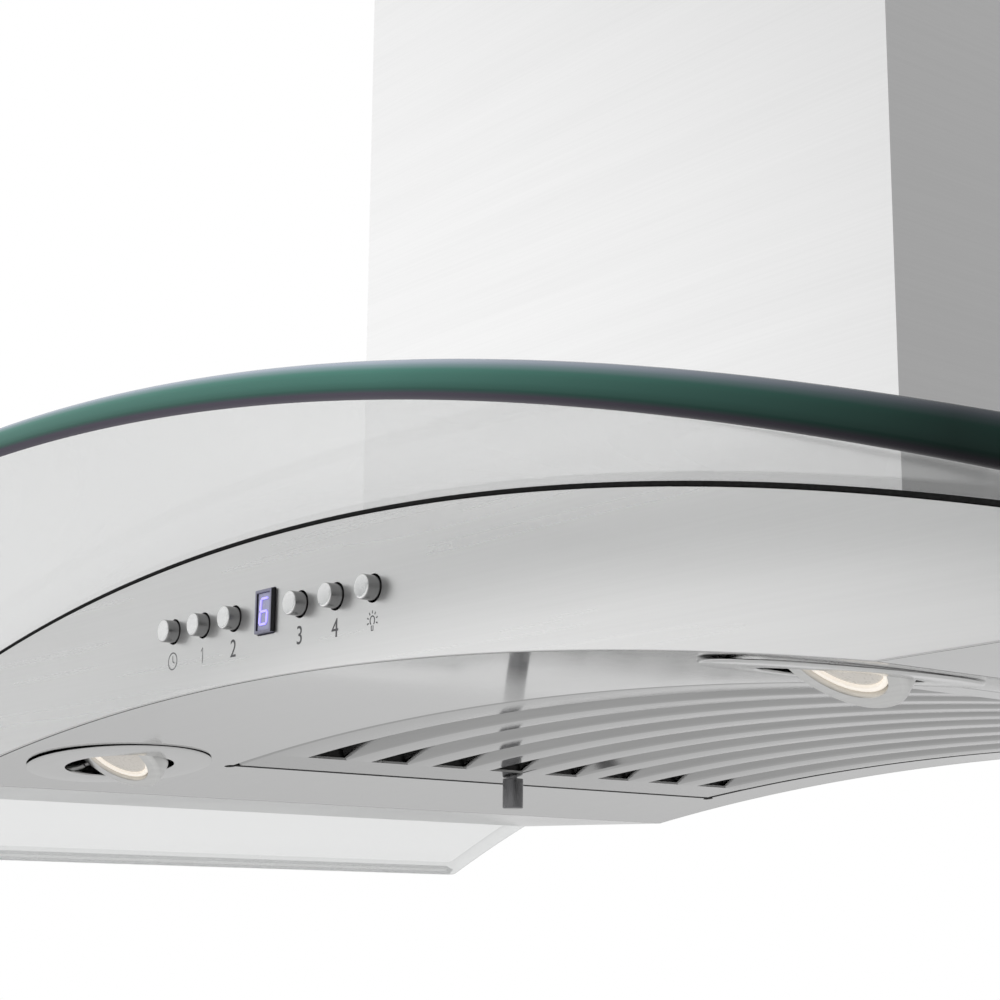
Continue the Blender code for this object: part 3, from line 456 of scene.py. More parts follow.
def settle(name, mesh_data, materials, smooth=35.0):
    """A linked object from a bmesh, smooth except over its sharp edges."""
    bmesh.ops.recalc_face_normals(mesh_data, faces=mesh_data.faces)
    mesh = bpy.data.meshes.new(name)
    mesh_data.to_mesh(mesh)
    mesh_data.free()
    for made in materials:
        mesh.materials.append(made)
    mesh.polygons.foreach_set("use_smooth", [True] * len(mesh.polygons))
    mesh.set_sharp_from_angle(angle=radians(smooth))
    piece = bpy.data.objects.new(name, mesh)
    bpy.context.scene.collection.objects.link(piece)
    return piece


def weigh_normals(piece):
    """Keep the flat faces flat beside their rounded edges."""
    modifier = piece.modifiers.new("Weigh normals", "WEIGHTED_NORMAL")
    modifier.keep_sharp = True
    modifier.weight = 80


def round_edges(piece, width, angle=40.0):
    modifier = piece.modifiers.new("Round edges", "BEVEL")
    modifier.width = width
    modifier.segments = 2
    modifier.limit_method = "ANGLE"
    modifier.angle_limit = radians(angle)
    modifier.use_clamp_overlap = True
    modifier.miter_outer = "MITER_ARC"


def mesh_of(piece):
    """The piece's mesh as its curve and modifiers make it."""
    return bpy.data.meshes.new_from_object(piece.evaluated_get(bpy.context.evaluated_depsgraph_get()))


def mesh_of_curve(curve):
    holder = bpy.data.objects.new(curve.name, curve)
    bpy.context.scene.collection.objects.link(holder)
    bpy.context.view_layer.update()
    mesh = mesh_of(holder)
    bpy.data.objects.remove(holder)
    return mesh


def add_line(curve, outline, closed):
    spline = curve.splines.new("POLY")
    spline.points.add(len(outline) - 1)
    for point, (x, y) in zip(spline.points, outline):
        point.co = (x, y, 0.0, 1.0)
    spline.use_cyclic_u = closed


def carve(piece, mesh_data):
    """Cut a closed bmesh out of a piece."""
    cutter = settle("Cutter", mesh_data, [])
    modifier = piece.modifiers.new("Carve", "BOOLEAN")
    modifier.object = cutter
    modifier.solver = "EXACT"
    carved = mesh_of(piece)
    piece.modifiers.clear()
    piece.data = carved
    bpy.data.objects.remove(cutter)


def follow_curve(piece, centre_z):
    """Give the faces that follow the curve its true normals. Returns the other faces' numbers."""
    mesh = piece.data
    normals, others = [], []
    for face in mesh.polygons:
        out = Vector((face.center.x, 0.0, face.center.z - centre_z)).normalized()
        along = face.normal.dot(out)
        if abs(along) < 0.985:
            others.append(face.index)
            normals.extend([(0.0, 0.0, 0.0)] * face.loop_total)
            continue
        for loop in face.loop_indices:
            corner = mesh.vertices[mesh.loops[loop].vertex_index].co
            true = Vector((corner.x, 0.0, corner.z - centre_z)).normalized()
            normals.append(true if along > 0 else -true)
    mesh.normals_split_custom_set(normals)
    return others


def put(piece, body, slot, *nodes):
    """Tie a piece to its moving part and hide the frame nodes it stands for; its finish slot is not used."""
    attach(piece, body)
    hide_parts(*nodes)
    return piece


def flat_plate(name, outlines, low_y, high_y, edge, made):
    """A plate in the XZ plane from closed outlines, the first outside and the rest holes, edges rounded."""
    curve = bpy.data.curves.new(name, "CURVE")
    curve.dimensions = "2D"
    curve.fill_mode = "BOTH"
    curve.extrude = (high_y - low_y) / 2 - edge
    curve.bevel_depth = edge
    curve.bevel_resolution = 2
    curve.offset = -edge
    for outline in outlines:
        add_line(curve, outline, True)
    mesh_data = bmesh.new()
    mesh_data.from_mesh(mesh_of_curve(curve))
    bmesh.ops.transform(mesh_data, matrix=Matrix.Translation((0.0, (low_y + high_y) / 2, 0.0))
                        @ Matrix.Rotation(pi / 2, 4, "X"), verts=mesh_data.verts)
    bmesh.ops.remove_doubles(mesh_data, verts=mesh_data.verts, dist=1e-6)
    piece = settle(name, mesh_data, [made])
    weigh_normals(piece)
    return piece


def turned(name, profile, steps, place, materials):
    """A piece turned about the place's Z axis."""
    mesh_data = bmesh.new()
    add_turned(mesh_data, profile, steps, place)
    return settle(name, mesh_data, materials)


def bore(piece, radius, low, high, steps, place):
    """Cut a round hole along the place's Z axis."""
    cutter = bmesh.new()
    add_turned(cutter, [(0.0, low), (radius, low), (radius, high), (0.0, high)], steps, place)
    carve(piece, cutter)


def circle(x, z, radius, steps=64):
    return [(x + radius * cos(2 * pi * i / steps),
             z + radius * sin(2 * pi * i / steps)) for i in range(steps)]


def box_outline(x, z, half_wide, half_tall):
    return [(x - half_wide, z - half_tall), (x + half_wide, z - half_tall), (x + half_wide, z + half_tall),
            (x - half_wide, z + half_tall)]


def along_y(x, y, z):
    return Matrix.Translation((x, y, z)) @ Euler((-pi / 2, 0.0, 0.0)).to_matrix().to_4x4()


# Pieces.

def crescent(steps):
    """Outline of the fascia: curved top, curved underside, straight run out to the tips."""
    top = [(x, on_curve(x, 0.0, TOP_Z, TOP_RADIUS)[1]) for x in spread(-TIP_X, TIP_X, steps)]
    low = [(x, on_curve(x, 0.0, LOW_Z, LOW_RADIUS)[1]) for x in spread(KINK_X, -KINK_X, steps)]
    tip = top[-1][1] - SHEET
    return top + [(TIP_X, tip)] + low + [(-TIP_X, tip)]


class HOOD_OT_glass(bpy.types.Operator):
    """Build the curved glass canopy with its polished edges"""
    bl_idname = "hood.glass"
    bl_label = "Glass canopy"

    def execute(self, context):
        finishes, details = context.scene.hood_finishes, context.scene.hood_details
        thick = GLASS_THICK
        radius = TOP_RADIUS + GLASS_RISE
        front, rear = GLASS_LOW.y, GLASS_HIGH.y
        edge = thick * 0.42
        corners = [(front, 0.0), (rear, 0.0), (rear, thick), (front, thick)]
        section = rounded(corners, edge, 6)
        half = GLASS_HALF - edge
        mesh_data = bmesh.new()
        stations = [(x, 0.0) for x in spread(-half, half, details.arc_steps)]
        taper = [(edge * sin(a), edge * (1 - cos(a))) for a in spread(0.0, pi / 2, 5)[1:]]
        stations = [(-half - out, inset) for out, inset in reversed(taper)] + stations
        stations += [(half + out, inset) for out, inset in taper]
        rings = []
        middle_y = (front + rear) / 2
        for x, inset in stations:
            ring = []
            for y, rise in section:
                side = 1 if y > middle_y else -1
                level = 1 if rise > thick / 2 else -1
                px, pz = on_curve(x, rise - level * inset, TOP_Z, radius)
                ring.append(mesh_data.verts.new((px, y - side * inset, pz)))
            rings.append(ring)
        join_rings(mesh_data, rings)
        clear = clear_glass("Clear glass")
        edge_painted_light = glass_edge("Polished glass edge, painted shade and highlight", finishes.edge_green, finishes.edge_painted_shade)
        pale = clear_glass("Pale glass edge", 0.32)
        piece = settle("glass_sheet", mesh_data, [clear, edge_painted_light, pale])
        cutter = bmesh.new()
        outline = rounded(box_outline(0.0, 0.0, *CUTOUT), 0.012, 6)
        levels = [[cutter.verts.new((x, y, z)) for x, y in outline] for z in (CREST_Z, CREST_Z + 0.1)]
        join_rings(cutter, levels)
        carve(piece, cutter)
        for number in follow_curve(piece, TOP_Z):
            face = piece.data.polygons[number]
            at_front = face.center.y < front + edge * 1.01 and abs(face.center.x) < half
            face.material_index = 1 if at_front else 2
        put(piece, "hood", "canopy_glass", "glass_canopy")
        return {"FINISHED"}


class HOOD_OT_seals(bpy.types.Operator):
    """Build the soft strips under the glass"""
    bl_idname = "hood.seals"
    bl_label = "Glass seals"

    def execute(self, context):
        steps = context.scene.hood_details.arc_steps
        rubber = soft_rubber("Black seal rubber")
        for name, node in (("seal_front", "glass_gasket_front"), ("seal_rear", "glass_gasket_rear")):
            low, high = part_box(node)
            section = rounded([(low.y, 0.0001), (high.y, 0.0001), (high.y, 0.0015), (low.y, 0.0015)],
                              0.0004, 3)
            mesh_data = bmesh.new()
            add_sweep(mesh_data, section, low.x + 0.0006, high.x - 0.0006, TOP_Z, TOP_RADIUS, steps)
            put(settle(name, mesh_data, [rubber]), "hood", "black_rubber", node)
        return {"FINISHED"}


class HOOD_OT_fascia(bpy.types.Operator):
    """Build the crescent fascia and the rear panel in brushed steel"""
    bl_idname = "hood.fascia"
    bl_label = "Fascia and rear panel"

    def execute(self, context):
        finishes, details = context.scene.hood_finishes, context.scene.hood_details
        steel = brushed_steel("Fascia brushed steel", finishes.steel, 0.28, 0.010, 0.010)
        outlines = [crescent(details.arc_steps)]
        outlines += [circle(CONTROLS_X + place * BUTTON_PITCH, BUTTON_Z, BUTTON_HOLE)
                     for place in BUTTONS.values()]
        wide, tall = DISPLAY[0] / 2, DISPLAY[1] / 2
        window = box_outline(CONTROLS_X, BUTTON_Z, wide, tall)
        outlines.append(rounded(window, 0.0005, 3))
        front = flat_plate("fascia_sheet", outlines, FRONT_Y, FRONT_Y + SHEET,
                           details.sheet_edge * 0.7, steel)
        put(front, "hood", "brushed_steel", "front_fascia")
        rear = flat_plate("rear_sheet", [crescent(details.arc_steps)], REAR_Y - SHEET, REAR_Y,
                          details.sheet_edge, brushed_steel("Rear brushed steel", finishes.steel))
        put(rear, "hood", "brushed_steel", "rear_panel")
        return {"FINISHED"}


class HOOD_OT_underside(bpy.types.Operator):
    """Build the curved polished underside with its openings"""
    bl_idname = "hood.underside"
    bl_label = "Underside"

    def execute(self, context):
        finishes, details = context.scene.hood_finishes, context.scene.hood_details
        steel = polished_steel("Underside polished steel", tint(finishes.steel, 0.95), 0.09, 0.02)
        # Painted shade: near-black paint on every face off the curve, the sheet's edges and the rims of its
        # openings, standing in for shade in the seams.
        seam_painted_shade = enamel("Cut edge, painted seam shade", (0.04, 0.04, 0.04))
        low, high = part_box("underside_panel")
        edge = details.sheet_edge
        section = rounded([(low.y, 0.0), (high.y, 0.0), (high.y, SHEET), (low.y, SHEET)], edge, 2)
        mesh_data = bmesh.new()
        add_sweep(mesh_data, section, low.x, high.x, LOW_Z, LOW_RADIUS, details.arc_steps)
        piece = settle("underside_sheet", mesh_data, [steel])
        tray_low, tray_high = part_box("filter_tray")
        cutter = bmesh.new()
        add_box(cutter, (tray_low.x - SEAM, tray_low.y - SEAM, CREST_Z - 0.05),
                (tray_high.x + SEAM, tray_high.y + SEAM, CREST_Z + 0.02))
        carve(piece, cutter)
        for x in (tray_low.x - SEAM, tray_high.x + SEAM):
            for y in (tray_low.y - SEAM, tray_high.y + SEAM):
                bore(piece, CORNER_RELIEF, -0.05, 0.02, 24, Matrix.Translation((x, y, CREST_Z)))
        for side in SIDES.values():
            bore(piece, LAMP_HOLE, -0.02, 0.02, 48, lamp_place(side))
        piece.data.materials.append(seam_painted_shade)
        # The faces off the curve take the painted seam shade.
        for number in follow_curve(piece, LOW_Z):
            piece.data.polygons[number].material_index = 1
        put(piece, "hood", "polished_steel", "underside_panel")
        return {"FINISHED"}


class HOOD_OT_buttons(bpy.types.Operator):
    """Turn the six polished push buttons"""
    bl_idname = "hood.buttons"
    bl_label = "Push buttons"

    def execute(self, context):
        steps = context.scene.hood_details.turn_steps
        metal = polished_steel("Button bright metal", (0.80, 0.80, 0.80), 0.16, 0.08)
        # Painted shade: the caps' side walls get a darker copy of the bright button steel.
        painted_shade_side_metal = polished_steel("Button side metal, painted shade", (0.33, 0.33, 0.33), 0.20, 0.08)
        profile = [(0.0, -0.00452), (0.0028, -0.00450)]
        profile += [(0.0034 + 0.0005 * sin(a), -0.0040 - 0.0005 * cos(a)) for a in spread(0.0, pi / 2, 6)]
        profile += [(0.0039, 0.0023), (0.0055, 0.0024), (0.0055, 0.0036), (0.0020, 0.0036), (0.0020, 0.0080),
                    (0.0, 0.0080)]
        for node, place in BUTTONS.items():
            centre = along_y(CONTROLS_X + place * BUTTON_PITCH, FRONT_Y, BUTTON_Z)
            cap = turned(node.replace("button", "cap"), profile, steps, centre, [metal, painted_shade_side_metal])
            # Faces turned sideways take the painted shade copy.
            for face in cap.data.polygons:
                face.material_index = 1 if abs(face.normal.y) < 0.7 else 0
            put(cap, node + "_cap", "button_metal", node)
        return {"FINISHED"}


class HOOD_OT_marks(bpy.types.Operator):
    """Print the small figures and signs under the buttons"""
    bl_idname = "hood.marks"
    bl_label = "Control marks"

    def execute(self, context):
        details = context.scene.hood_details
        tall = details.mark_height
        z = BUTTON_Z - details.mark_drop
        ink = moulded_plastic("Grey printing ink", (0.085, 0.085, 0.090), 0.6)
        mesh_data = bmesh.new()
        self.add_shape(mesh_data, self.stroke([(-tall * 0.17, tall * 0.27), (tall * 0.03, tall * 0.47),
                                               (tall * 0.03, -tall * 0.48)]),
                       CONTROLS_X - 2 * BUTTON_PITCH, z)
        for figure, place in (("2", -1), ("3", 1), ("4", 2)):
            curve = bpy.data.curves.new("Figure", "FONT")
            curve.body = figure
            curve.size = tall * 1.52
            curve.align_x, curve.align_y = "CENTER", "CENTER"
            curve.extrude = 0.00002
            self.add_shape(mesh_data, curve, CONTROLS_X + place * BUTTON_PITCH, z)
        for outline in self.clock_lines(tall * 0.52):
            self.add_shape(mesh_data, self.stroke(outline), CONTROLS_X - 3 * BUTTON_PITCH, z)
        for outline in self.lamp_lines(tall * 0.5):
            self.add_shape(mesh_data, self.stroke(outline), CONTROLS_X + 3 * BUTTON_PITCH, z)
        put(settle("control_marks", mesh_data, [ink]), "hood", "dark_plastic")
        return {"FINISHED"}

    def stroke(self, outline):
        """A thin flat line through the points."""
        curve = bpy.data.curves.new("Stroke", "CURVE")
        curve.dimensions = "3D"
        curve.extrude = 0.00002
        curve.bevel_depth = 0.00020
        curve.bevel_resolution = 1
        add_line(curve, outline, False)
        return curve

    def clock_lines(self, radius):
        ring = [(radius * cos(a), radius * sin(a)) for a in spread(0.0, 2 * pi, 32)]
        return [ring, [(0.0, radius * 0.62), (0.0, 0.0), (radius * 0.42, -radius * 0.25)]]

    def lamp_lines(self, size):
        """A bulb with seven rays round its upper side and a short base."""
        bulb = [(size * 0.42 * sin(a), size * 0.12 + size * 0.50 * cos(a)) for a in spread(-2.5, 2.5, 24)]
        lines = [bulb, [(-size * 0.16, -size * 0.42), (-size * 0.16, -size * 0.95),
                        (size * 0.16, -size * 0.95), (size * 0.16, -size * 0.42)]]
        for turn in spread(-1.9, 1.9, 6):
            lines.append([(size * 0.72 * sin(turn), size * (0.12 + 0.78 * cos(turn))),
                          (size * 1.02 * sin(turn), size * (0.12 + 1.10 * cos(turn)))])
        return lines

    def add_shape(self, mesh_data, curve, x, z):
        """Add a stroke, pressed flat, or a figure, slightly narrowed, on the fascia's face."""
        mesh = mesh_of_curve(curve)
        squash = Matrix.Diagonal((1.0, 1.0, 0.15, 1.0) if curve.bevel_depth else (0.92, 1.0, 1.0, 1.0))
        place = Matrix.Translation((x, FRONT_Y - 0.00003, z)) @ Matrix.Rotation(pi / 2, 4, "X")
        mesh.transform(place @ squash)
        mesh_data.from_mesh(mesh)


class HOOD_OT_display(bpy.types.Operator):
    """Build the framed display and its digit"""
    bl_idname = "hood.display"
    bl_label = "Display"

    def execute(self, context):
        finishes = context.scene.hood_finishes
        wide, tall = (size / 2 - 0.0003 for size in DISPLAY)
        outer = box_outline(CONTROLS_X, BUTTON_Z, wide, tall)
        inner = box_outline(CONTROLS_X, BUTTON_Z, wide * 0.78, tall * 0.86)
        bezel = flat_plate("display_surround", [rounded(outer, 0.0004, 3), rounded(inner, 0.0003, 3)],
                           FRONT_Y - 0.0015, FRONT_Y + 0.0030, 0.0002,
                           moulded_plastic("Lavender bezel plastic", (0.20, 0.20, 0.27), 0.35))
        # Painted shade: the surround's faces that turn to the right (+X) get a near-black plastic.
        bezel.data.materials.append(moulded_plastic("Bezel right side, painted shade", (0.012, 0.012, 0.014), 0.4))
        for face in bezel.data.polygons:
            face.material_index = 1 if face.normal.x > 0.6 else 0
        put(bezel, "hood", "bezel_plastic", "display_bezel")
        film = moulded_plastic("Violet display film", (0.33, 0.33, 0.47), 0.22)
        pane = box_outline(CONTROLS_X, BUTTON_Z, wide * 0.76, tall * 0.85)
        plate = flat_plate("display_pane", [rounded(pane, 0.0003, 3)], FRONT_Y - 0.0009,
                           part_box("display_window")[1].y, 0.0001, film)
        put(plate, "hood", "display_film", "display_window")
        light = glowing("Digit light", finishes.digit_light, 1.0, (0.34, 0.32, 0.8))
        mesh_data = bmesh.new()
        half_wide, half_tall, bar = 0.0021, 0.0042, 0.00034
        corners = {"tl": (-half_wide, half_tall), "tr": (half_wide, half_tall), "ml": (-half_wide, 0.0),
                   "mr": (half_wide, 0.0), "bl": (-half_wide, -half_tall), "br": (half_wide, -half_tall)}
        y = FRONT_Y - 0.0013
        for first, second in (("tl", "tr"), ("ml", "tl"), ("ml", "mr"),
                              ("bl", "ml"), ("bl", "br"), ("br", "mr")):
            start, end = Vector(corners[first]), Vector(corners[second])
            line = (end - start).normalized()
            across = Vector((-line.y, line.x)) * bar
            start, end = start + line * bar * 0.5, end - line * bar * 0.5
            outline = [start, start + line * bar + across, end - line * bar + across, end,
                       end - line * bar - across, start + line * bar - across]
            rings = [[mesh_data.verts.new((CONTROLS_X + p.x + p.y * 0.10, level, BUTTON_Z + p.y))
                      for p in outline]
                     for level in (y, y + 0.0004)]
            join_rings(mesh_data, rings)
        put(settle("display_figure", mesh_data, [light]), "hood", "digit_light", "display_digit")
        return {"FINISHED"}


def lamp_place(side):
    """Frame of one lamp on the curved underside, its +Z pointing into the body."""
    low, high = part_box("lamp_trim_right")
    y = (low.y + high.y) / 2
    turn = asin(side * LAMP_X / LOW_RADIUS)
    return (Matrix.Translation((side * LAMP_X, y, on_curve(LAMP_X, 0.0, LOW_Z, LOW_RADIUS)[1]))
            @ Euler((0.0, turn, 0.0)).to_matrix().to_4x4())


class HOOD_OT_lamps(bpy.types.Operator):
    """Turn the lamp rings, their tilting shells and lenses"""
    bl_idname = "hood.lamps"
    bl_label = "Lamps"

    def execute(self, context):
        finishes, steps = context.scene.hood_finishes, context.scene.hood_details.turn_steps
        ring_steel = polished_steel("Lamp ring polished steel", finishes.steel, 0.14)
        satin = brushed_steel("Lamp shell satin metal", (0.70, 0.70, 0.69), 0.34)
        diffuser = glowing("Lamp diffuser", tint(finishes.lamp_light, 0.9), finishes.lamp_strength * 0.45,
                           (0.50, 0.49, 0.47))
        rim = glowing("Lamp glowing rim", finishes.lamp_light, finishes.lamp_strength, (0.80, 0.78, 0.74))
        ring = rounded([(0.0220, -0.0016), (0.0372, -0.0014), (0.0375, -0.0006), (0.0300, -0.0006),
                        (0.0300, 0.0240), (0.0290, 0.0240), (0.0290, 0.0010), (0.0220, -0.0006)],
                       [0.0004, 0.0005, 0.0002, 0.0, 0.0002, 0.0002, 0.0004, 0.0004], 4)
        shell = rounded([(0.0150, -0.0042), (0.0193, -0.0042), (0.0205, -0.0030), (0.0205, 0.0040),
                         (0.0165, 0.0080),
                         (0.0155, 0.0180), (0.0, 0.0180), (0.0, 0.0165), (0.0142, 0.0165), (0.0152, 0.0005)],
                        [0.0004, 0.0006, 0.0006, 0.0010, 0.0010, 0.0010, 0.0, 0.0, 0.0010, 0.0004], 4)
        lens = [(0.0, -0.0028)]
        lens += [(0.0128 * sin(a), -0.0014 - 0.0014 * cos(a)) for a in spread(0.15, pi / 2, 8)]
        lens += [(0.0128, 0.0), (0.0, 0.0)]
        halo = rounded([(0.0129, -0.0026), (0.0146, -0.0026), (0.0146, 0.0), (0.0129, 0.0)], 0.0006, 4)
        for name, side in SIDES.items():
            place = lamp_place(side)
            swing = (place @ Matrix.Translation((0.0, 0.0, LAMP_PIVOT))
                     @ Euler((-LAMP_TILT, 0.0, 0.0)).to_matrix().to_4x4())
            put(turned("lamp_ring_" + name, ring, steps, place, [ring_steel]), "hood", "polished_steel",
                "lamp_trim_" + name)
            mesh_data = bmesh.new()
            add_turned(mesh_data, shell, steps, swing)
            for sign in (-1, 1):
                pin = swing @ Euler((0.0, sign * pi / 2, 0.0)).to_matrix().to_4x4()
                add_turned(mesh_data, [(0.0, 0.0180), (0.0012, 0.0180), (0.0012, 0.0285), (0.0, 0.0285)],
                           16, pin)
            put(settle("lamp_shell_" + name, mesh_data, [satin]), "lamp_" + name, "lamp_satin",
                "lamp_cup_" + name)
            put(turned("lamp_diffuser_" + name, lens, steps, swing, [diffuser]), "lamp_" + name, "lamp_lens",
                "lamp_lens_" + name)
            put(turned("lamp_halo_" + name, halo, steps, swing, [rim]), "lamp_" + name, "lamp_lens")
        return {"FINISHED"}


class HOOD_OT_filter(bpy.types.Operator):
    """Fold the filter's slotted face"""
    bl_idname = "hood.filter"
    bl_label = "Filter face"

    def execute(self, context):
        finishes, details = context.scene.hood_finishes, context.scene.hood_details
        steel = polished_steel("Filter polished steel", tint(finishes.steel, 0.72), 0.15, 0.03)
        low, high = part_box("filter_tray")
        thick, fold = 0.0010, details.fold_radius
        slot, pitch, half, flange, lean = 0.0180, 0.0323, 0.1615, 0.0065, 0.0018
        first = (low.y + high.y) / 2 + 0.0030 - 3.5 * pitch
        edges = [low.y]
        for i in range(8):
            edges += [first + i * pitch - slot / 2, first + i * pitch + slot / 2]
        edges.append(high.y)
        mesh_data = bmesh.new()
        tall = 0.0120
        for i in range(0, len(edges), 2):
            start, end = edges[i], edges[i + 1]
            rise_start = tall if i == 0 else flange
            rise_end = tall if i == len(edges) - 2 else flange
            first_lean = 0.0 if i == 0 else lean
            last_lean = 0.0 if i == len(edges) - 2 else lean
            corners = [(start - first_lean, rise_start), (start, 0.0), (end, 0.0),
                       (end + last_lean, rise_end),
                       (end + last_lean - thick, rise_end), (end - thick, thick), (start + thick, thick),
                       (start - first_lean + thick, rise_start)]
            section = rounded(corners, [0.0, fold * 0.7, fold * 0.7, 0.0,
                                        0.0, fold * 0.3, fold * 0.3, 0.0], 5)
            add_sweep(mesh_data, section, -half, half, LOW_Z, LOW_RADIUS, 64)
        for side in SIDES.values():
            self.add_end(mesh_data, low, high, side, half, tall, thick, fold)
        put(settle("filter_face", mesh_data, [steel], 30.0), "filter", "polished_steel", "filter_tray")
        return {"FINISHED"}

    def add_end(self, mesh_data, low, high, side, half, tall, thick, fold):
        """Flat end strip with its walls, folded up at the tray's end."""
        outer = high.x
        wall = [(low.y, tall), (low.y, 0.0), (high.y, 0.0), (high.y, tall), (high.y - thick, tall),
                (high.y - thick, thick), (low.y + thick, thick), (low.y + thick, tall)]
        section = rounded(wall, [0.0, fold, fold, 0.0, 0.0, fold * 0.4, fold * 0.4, 0.0], 5)
        ends = sorted((side * half, side * (outer - fold)))
        add_sweep(mesh_data, section, ends[0], ends[1], LOW_Z, LOW_RADIUS, 6)
        corners = [(outer - fold - 0.0005, 0.0), (outer, 0.0), (outer, tall), (outer - thick, tall),
                   (outer - thick, thick), (outer - fold - 0.0005, thick)]
        bend = rounded(corners, [0.0, fold, 0.0, 0.0, fold * 0.4, 0.0], 5)
        rings = []
        for y in (low.y + fold * 0.6, high.y - fold * 0.6):
            ring = []
            for x, rise in bend:
                px, pz = on_curve(side * x, rise, LOW_Z, LOW_RADIUS)
                ring.append(mesh_data.verts.new((px, y, pz)))
            rings.append(ring)
        join_rings(mesh_data, rings)


class HOOD_OT_knob(bpy.types.Operator):
    """Turn the filter's knob"""
    bl_idname = "hood.knob"
    bl_label = "Filter knob"

    def execute(self, context):
        steps = context.scene.hood_details.turn_steps
        low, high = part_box("filter_knob")
        x, y = (low.x + high.x) / 2, (low.y + high.y) / 2
        radius = (high.x - low.x) / 2
        collar = low.z + 0.0135
        profile = rounded([(0.0, low.z), (radius, low.z), (radius, collar), (0.0020, collar),
                           (0.0020, high.z), (0.0, high.z)], [0.0, 0.0007, 0.0003, 0.0, 0.0002, 0.0], 4)
        metal = polished_steel("Knob dark metal", (0.20, 0.20, 0.205), 0.24, 0.08)
        knob = turned("knob_turned", profile, steps, Matrix.Translation((x, y, 0.0)), [metal])
        put(knob, "latch", "knob_metal", "filter_knob")
        return {"FINISHED"}


class HOOD_OT_frame_finishes(bpy.types.Operator):
    """Finish the frame's own parts that stay in view"""
    bl_idname = "hood.frame_finishes"
    bl_label = "Frame finishes"

    def execute(self, context):
        finishes, details = context.scene.hood_finishes, context.scene.hood_details
        finish_by_slot = {
            "brushed_steel": brushed_steel("Cover brushed steel", finishes.cover_steel, 0.32, 0.012, 0.010),
            "polished_steel": polished_steel("Polished sheet steel", finishes.steel, 0.15),
            "zinc_steel": zinc_steel("Zinc-plated steel"),
            "dark_plastic": moulded_plastic("Dark moulded plastic", (0.06, 0.06, 0.065)),
            "black_rubber": soft_rubber("Inner seal rubber"),
            "board_resin": moulded_plastic("Green board resin", (0.02, 0.14, 0.06), 0.4),
            "motor_paint": enamel("Motor enamel", (0.05, 0.05, 0.055)),
            "capacitor_can": moulded_plastic("Capacitor can", (0.50, 0.50, 0.50), 0.4),
            "supply_plastic": moulded_plastic("Supply housing plastic", (0.65, 0.65, 0.63), 0.45),
        }
        # Painted shade: the steel filter baffles get a near-black paint, so the slots look as dark as the
        # shade inside them.
        shaded = enamel("Baffle painted shade", (0.030, 0.030, 0.030))
        slots = {part["node"]: part["material_slot"] for part in frame["record"]["subparts"]}
        for name, node in frame["nodes"].items():
            if node.hide_render:
                continue
            made = shaded if name == "filter_baffles" else finish_by_slot[slots[name]]
            node.data.materials.clear()
            node.data.materials.append(made)
            width = 0.0007 if "chimney" in name else details.part_edge * 0.5
            round_edges(node, width, 50.0)
        return {"FINISHED"}


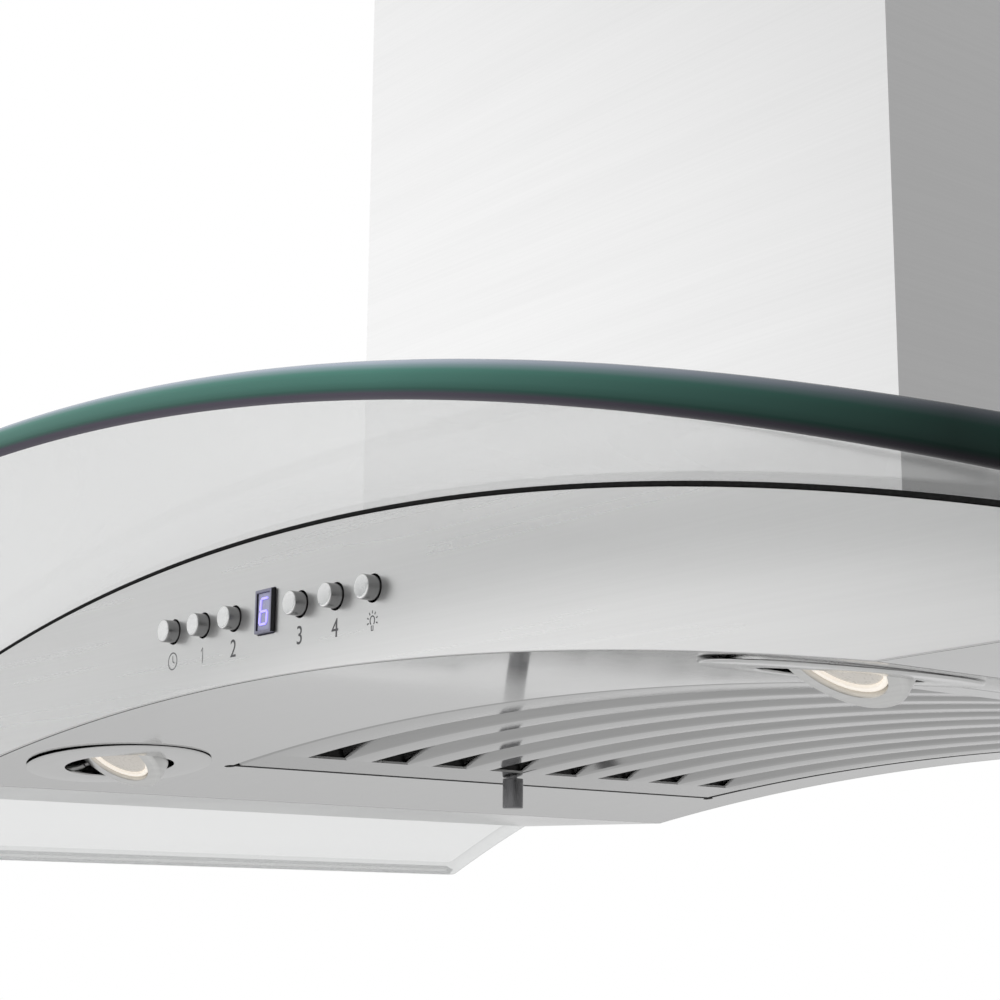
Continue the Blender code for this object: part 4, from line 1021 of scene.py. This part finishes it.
class HOOD_OT_stage(bpy.types.Operator):
    """Set the camera, the pale floor and the soft light"""
    bl_idname = "hood.stage"
    bl_label = "Stage"

    def execute(self, context):
        scene, stage = context.scene, context.scene.hood_stage
        scene.view_settings.view_transform = "Standard"
        self.camera(scene, stage)
        self.floor(stage)
        self.sky(scene, stage)
        self.lights(scene)
        return {"FINISHED"}

    def camera(self, scene, stage):
        data = bpy.data.cameras.new("Camera")
        data.lens = stage.lens
        data.sensor_width = 36.0
        data.clip_start, data.clip_end = 0.01, 100.0
        camera = bpy.data.objects.new("Camera", data)
        scene.collection.objects.link(camera)
        turned = Matrix.Rotation(stage.heading, 4, "Z") @ Matrix.Rotation(pi / 2 + stage.pitch, 4, "X")
        turned = turned @ Matrix.Rotation(stage.roll, 4, "Z")
        camera.matrix_world = Matrix.Translation(stage.camera_place) @ turned
        scene.camera = camera

    def floor(self, stage):
        mesh_data = bmesh.new()
        bmesh.ops.create_grid(mesh_data, x_segments=8, y_segments=8, size=24.0)
        bmesh.ops.translate(mesh_data, verts=mesh_data.verts, vec=(0.0, 0.0, stage.floor_z))
        pale = start_material("Pale floor", (0.90, 0.90, 0.90), 0.9)
        floor = settle("studio_floor", mesh_data, [pale])

    def sky(self, scene, stage):
        """White where the camera looks, softer from the back right for light and reflections."""
        world = bpy.data.worlds.new("Studio")
        world.use_nodes = True
        scene.world = world
        nodes, links = world.node_tree.nodes, world.node_tree.links
        nodes.clear()
        place = nodes.new("ShaderNodeTexCoord")
        lean = nodes.new("ShaderNodeVectorMath")
        lean.operation = "DOT_PRODUCT"
        lean.inputs[1].default_value = (-0.835, -0.515, 0.190)
        links.new(place.outputs["Generated"], lean.inputs[0])
        share = ranged(world.node_tree, lean.outputs["Value"], (-1.0, 1.0), (0.0, 1.0))
        ramp = nodes.new("ShaderNodeValToRGB")
        ramp.color_ramp.interpolation = "EASE"
        middle = (stage.back_light + stage.front_light) / 2
        for place_on, level in ((0.0, stage.back_light), (0.55, middle), (0.94, stage.front_light * 0.80),
                                (0.995, stage.front_light * 1.25)):
            stop = ramp.color_ramp.elements.new(place_on)
            stop.color = (level, level, level, 1.0)
        ramp.color_ramp.elements.remove(ramp.color_ramp.elements[0])
        ramp.color_ramp.elements.remove(ramp.color_ramp.elements[-1])
        links.new(share, ramp.inputs["Fac"])
        soft = nodes.new("ShaderNodeBackground")
        links.new(ramp.outputs["Color"], soft.inputs["Color"])
        white = nodes.new("ShaderNodeBackground")
        white.inputs["Color"].default_value = (1.0, 1.0, 1.0, 1.0)
        path = nodes.new("ShaderNodeLightPath")
        both = nodes.new("ShaderNodeMixShader")
        out = nodes.new("ShaderNodeOutputWorld")
        links.new(path.outputs["Is Camera Ray"], both.inputs["Fac"])
        links.new(soft.outputs["Background"], both.inputs[1])
        links.new(white.outputs["Background"], both.inputs[2])
        links.new(both.outputs["Shader"], out.inputs["Surface"])

    def lights(self, scene):
        for name, place, power, size in (("Key", (-1.6, -2.2, 0.6), 38.0, 2.0),
                                         ("Fill", (1.8, -1.2, 0.4), 12.0, 1.6)):
            data = bpy.data.lights.new(name, "AREA")
            data.energy = power
            data.shape = "DISK"
            data.size = size
            light = bpy.data.objects.new(name, data)
            scene.collection.objects.link(light)
            light.visible_glossy = False
            light.location = place
            aim = Vector((0.0, -0.1, -0.75)) - Vector(place)
            light.rotation_mode = "QUATERNION"
            light.rotation_quaternion = aim.to_track_quat("-Z", "Y")


OPERATORS = (HOOD_OT_glass, HOOD_OT_seals, HOOD_OT_fascia, HOOD_OT_underside, HOOD_OT_buttons, HOOD_OT_marks,
             HOOD_OT_display, HOOD_OT_lamps, HOOD_OT_filter, HOOD_OT_knob, HOOD_OT_frame_finishes,
             HOOD_OT_stage)


class HOOD_PT_maker(bpy.types.Panel):
    """Lists the settings and the steps."""
    bl_label = "Island Hood"
    bl_idname = "HOOD_PT_maker"
    bl_space_type = "VIEW_3D"
    bl_region_type = "UI"
    bl_category = "Hood"

    def draw(self, context):
        for group in (context.scene.hood_finishes, context.scene.hood_details, context.scene.hood_stage):
            box = self.layout.box()
            for name in group.__annotations__:
                box.prop(group, name)
        for step in OPERATORS:
            self.layout.operator(step.bl_idname)


GROUPS = {"hood_finishes": HoodFinishes, "hood_details": HoodDetails, "hood_stage": HoodStage}


def register():
    for group in (*GROUPS.values(), *OPERATORS, HOOD_PT_maker):
        bpy.utils.register_class(group)
    for name, group in GROUPS.items():
        setattr(bpy.types.Scene, name, bpy.props.PointerProperty(type=group))


def unregister():
    for name in GROUPS:
        delattr(bpy.types.Scene, name)
    for group in (HOOD_PT_maker, *reversed(OPERATORS), *GROUPS.values()):
        bpy.utils.unregister_class(group)


def main():
    register()
    bpy.ops.hood.glass()
    bpy.ops.hood.seals()
    bpy.ops.hood.fascia()
    bpy.ops.hood.underside()
    bpy.ops.hood.buttons()
    bpy.ops.hood.marks()
    bpy.ops.hood.display()
    bpy.ops.hood.lamps()
    bpy.ops.hood.filter()
    bpy.ops.hood.knob()
    bpy.ops.hood.frame_finishes()
    bpy.ops.hood.stage()


if __name__ == "__main__":
    main()
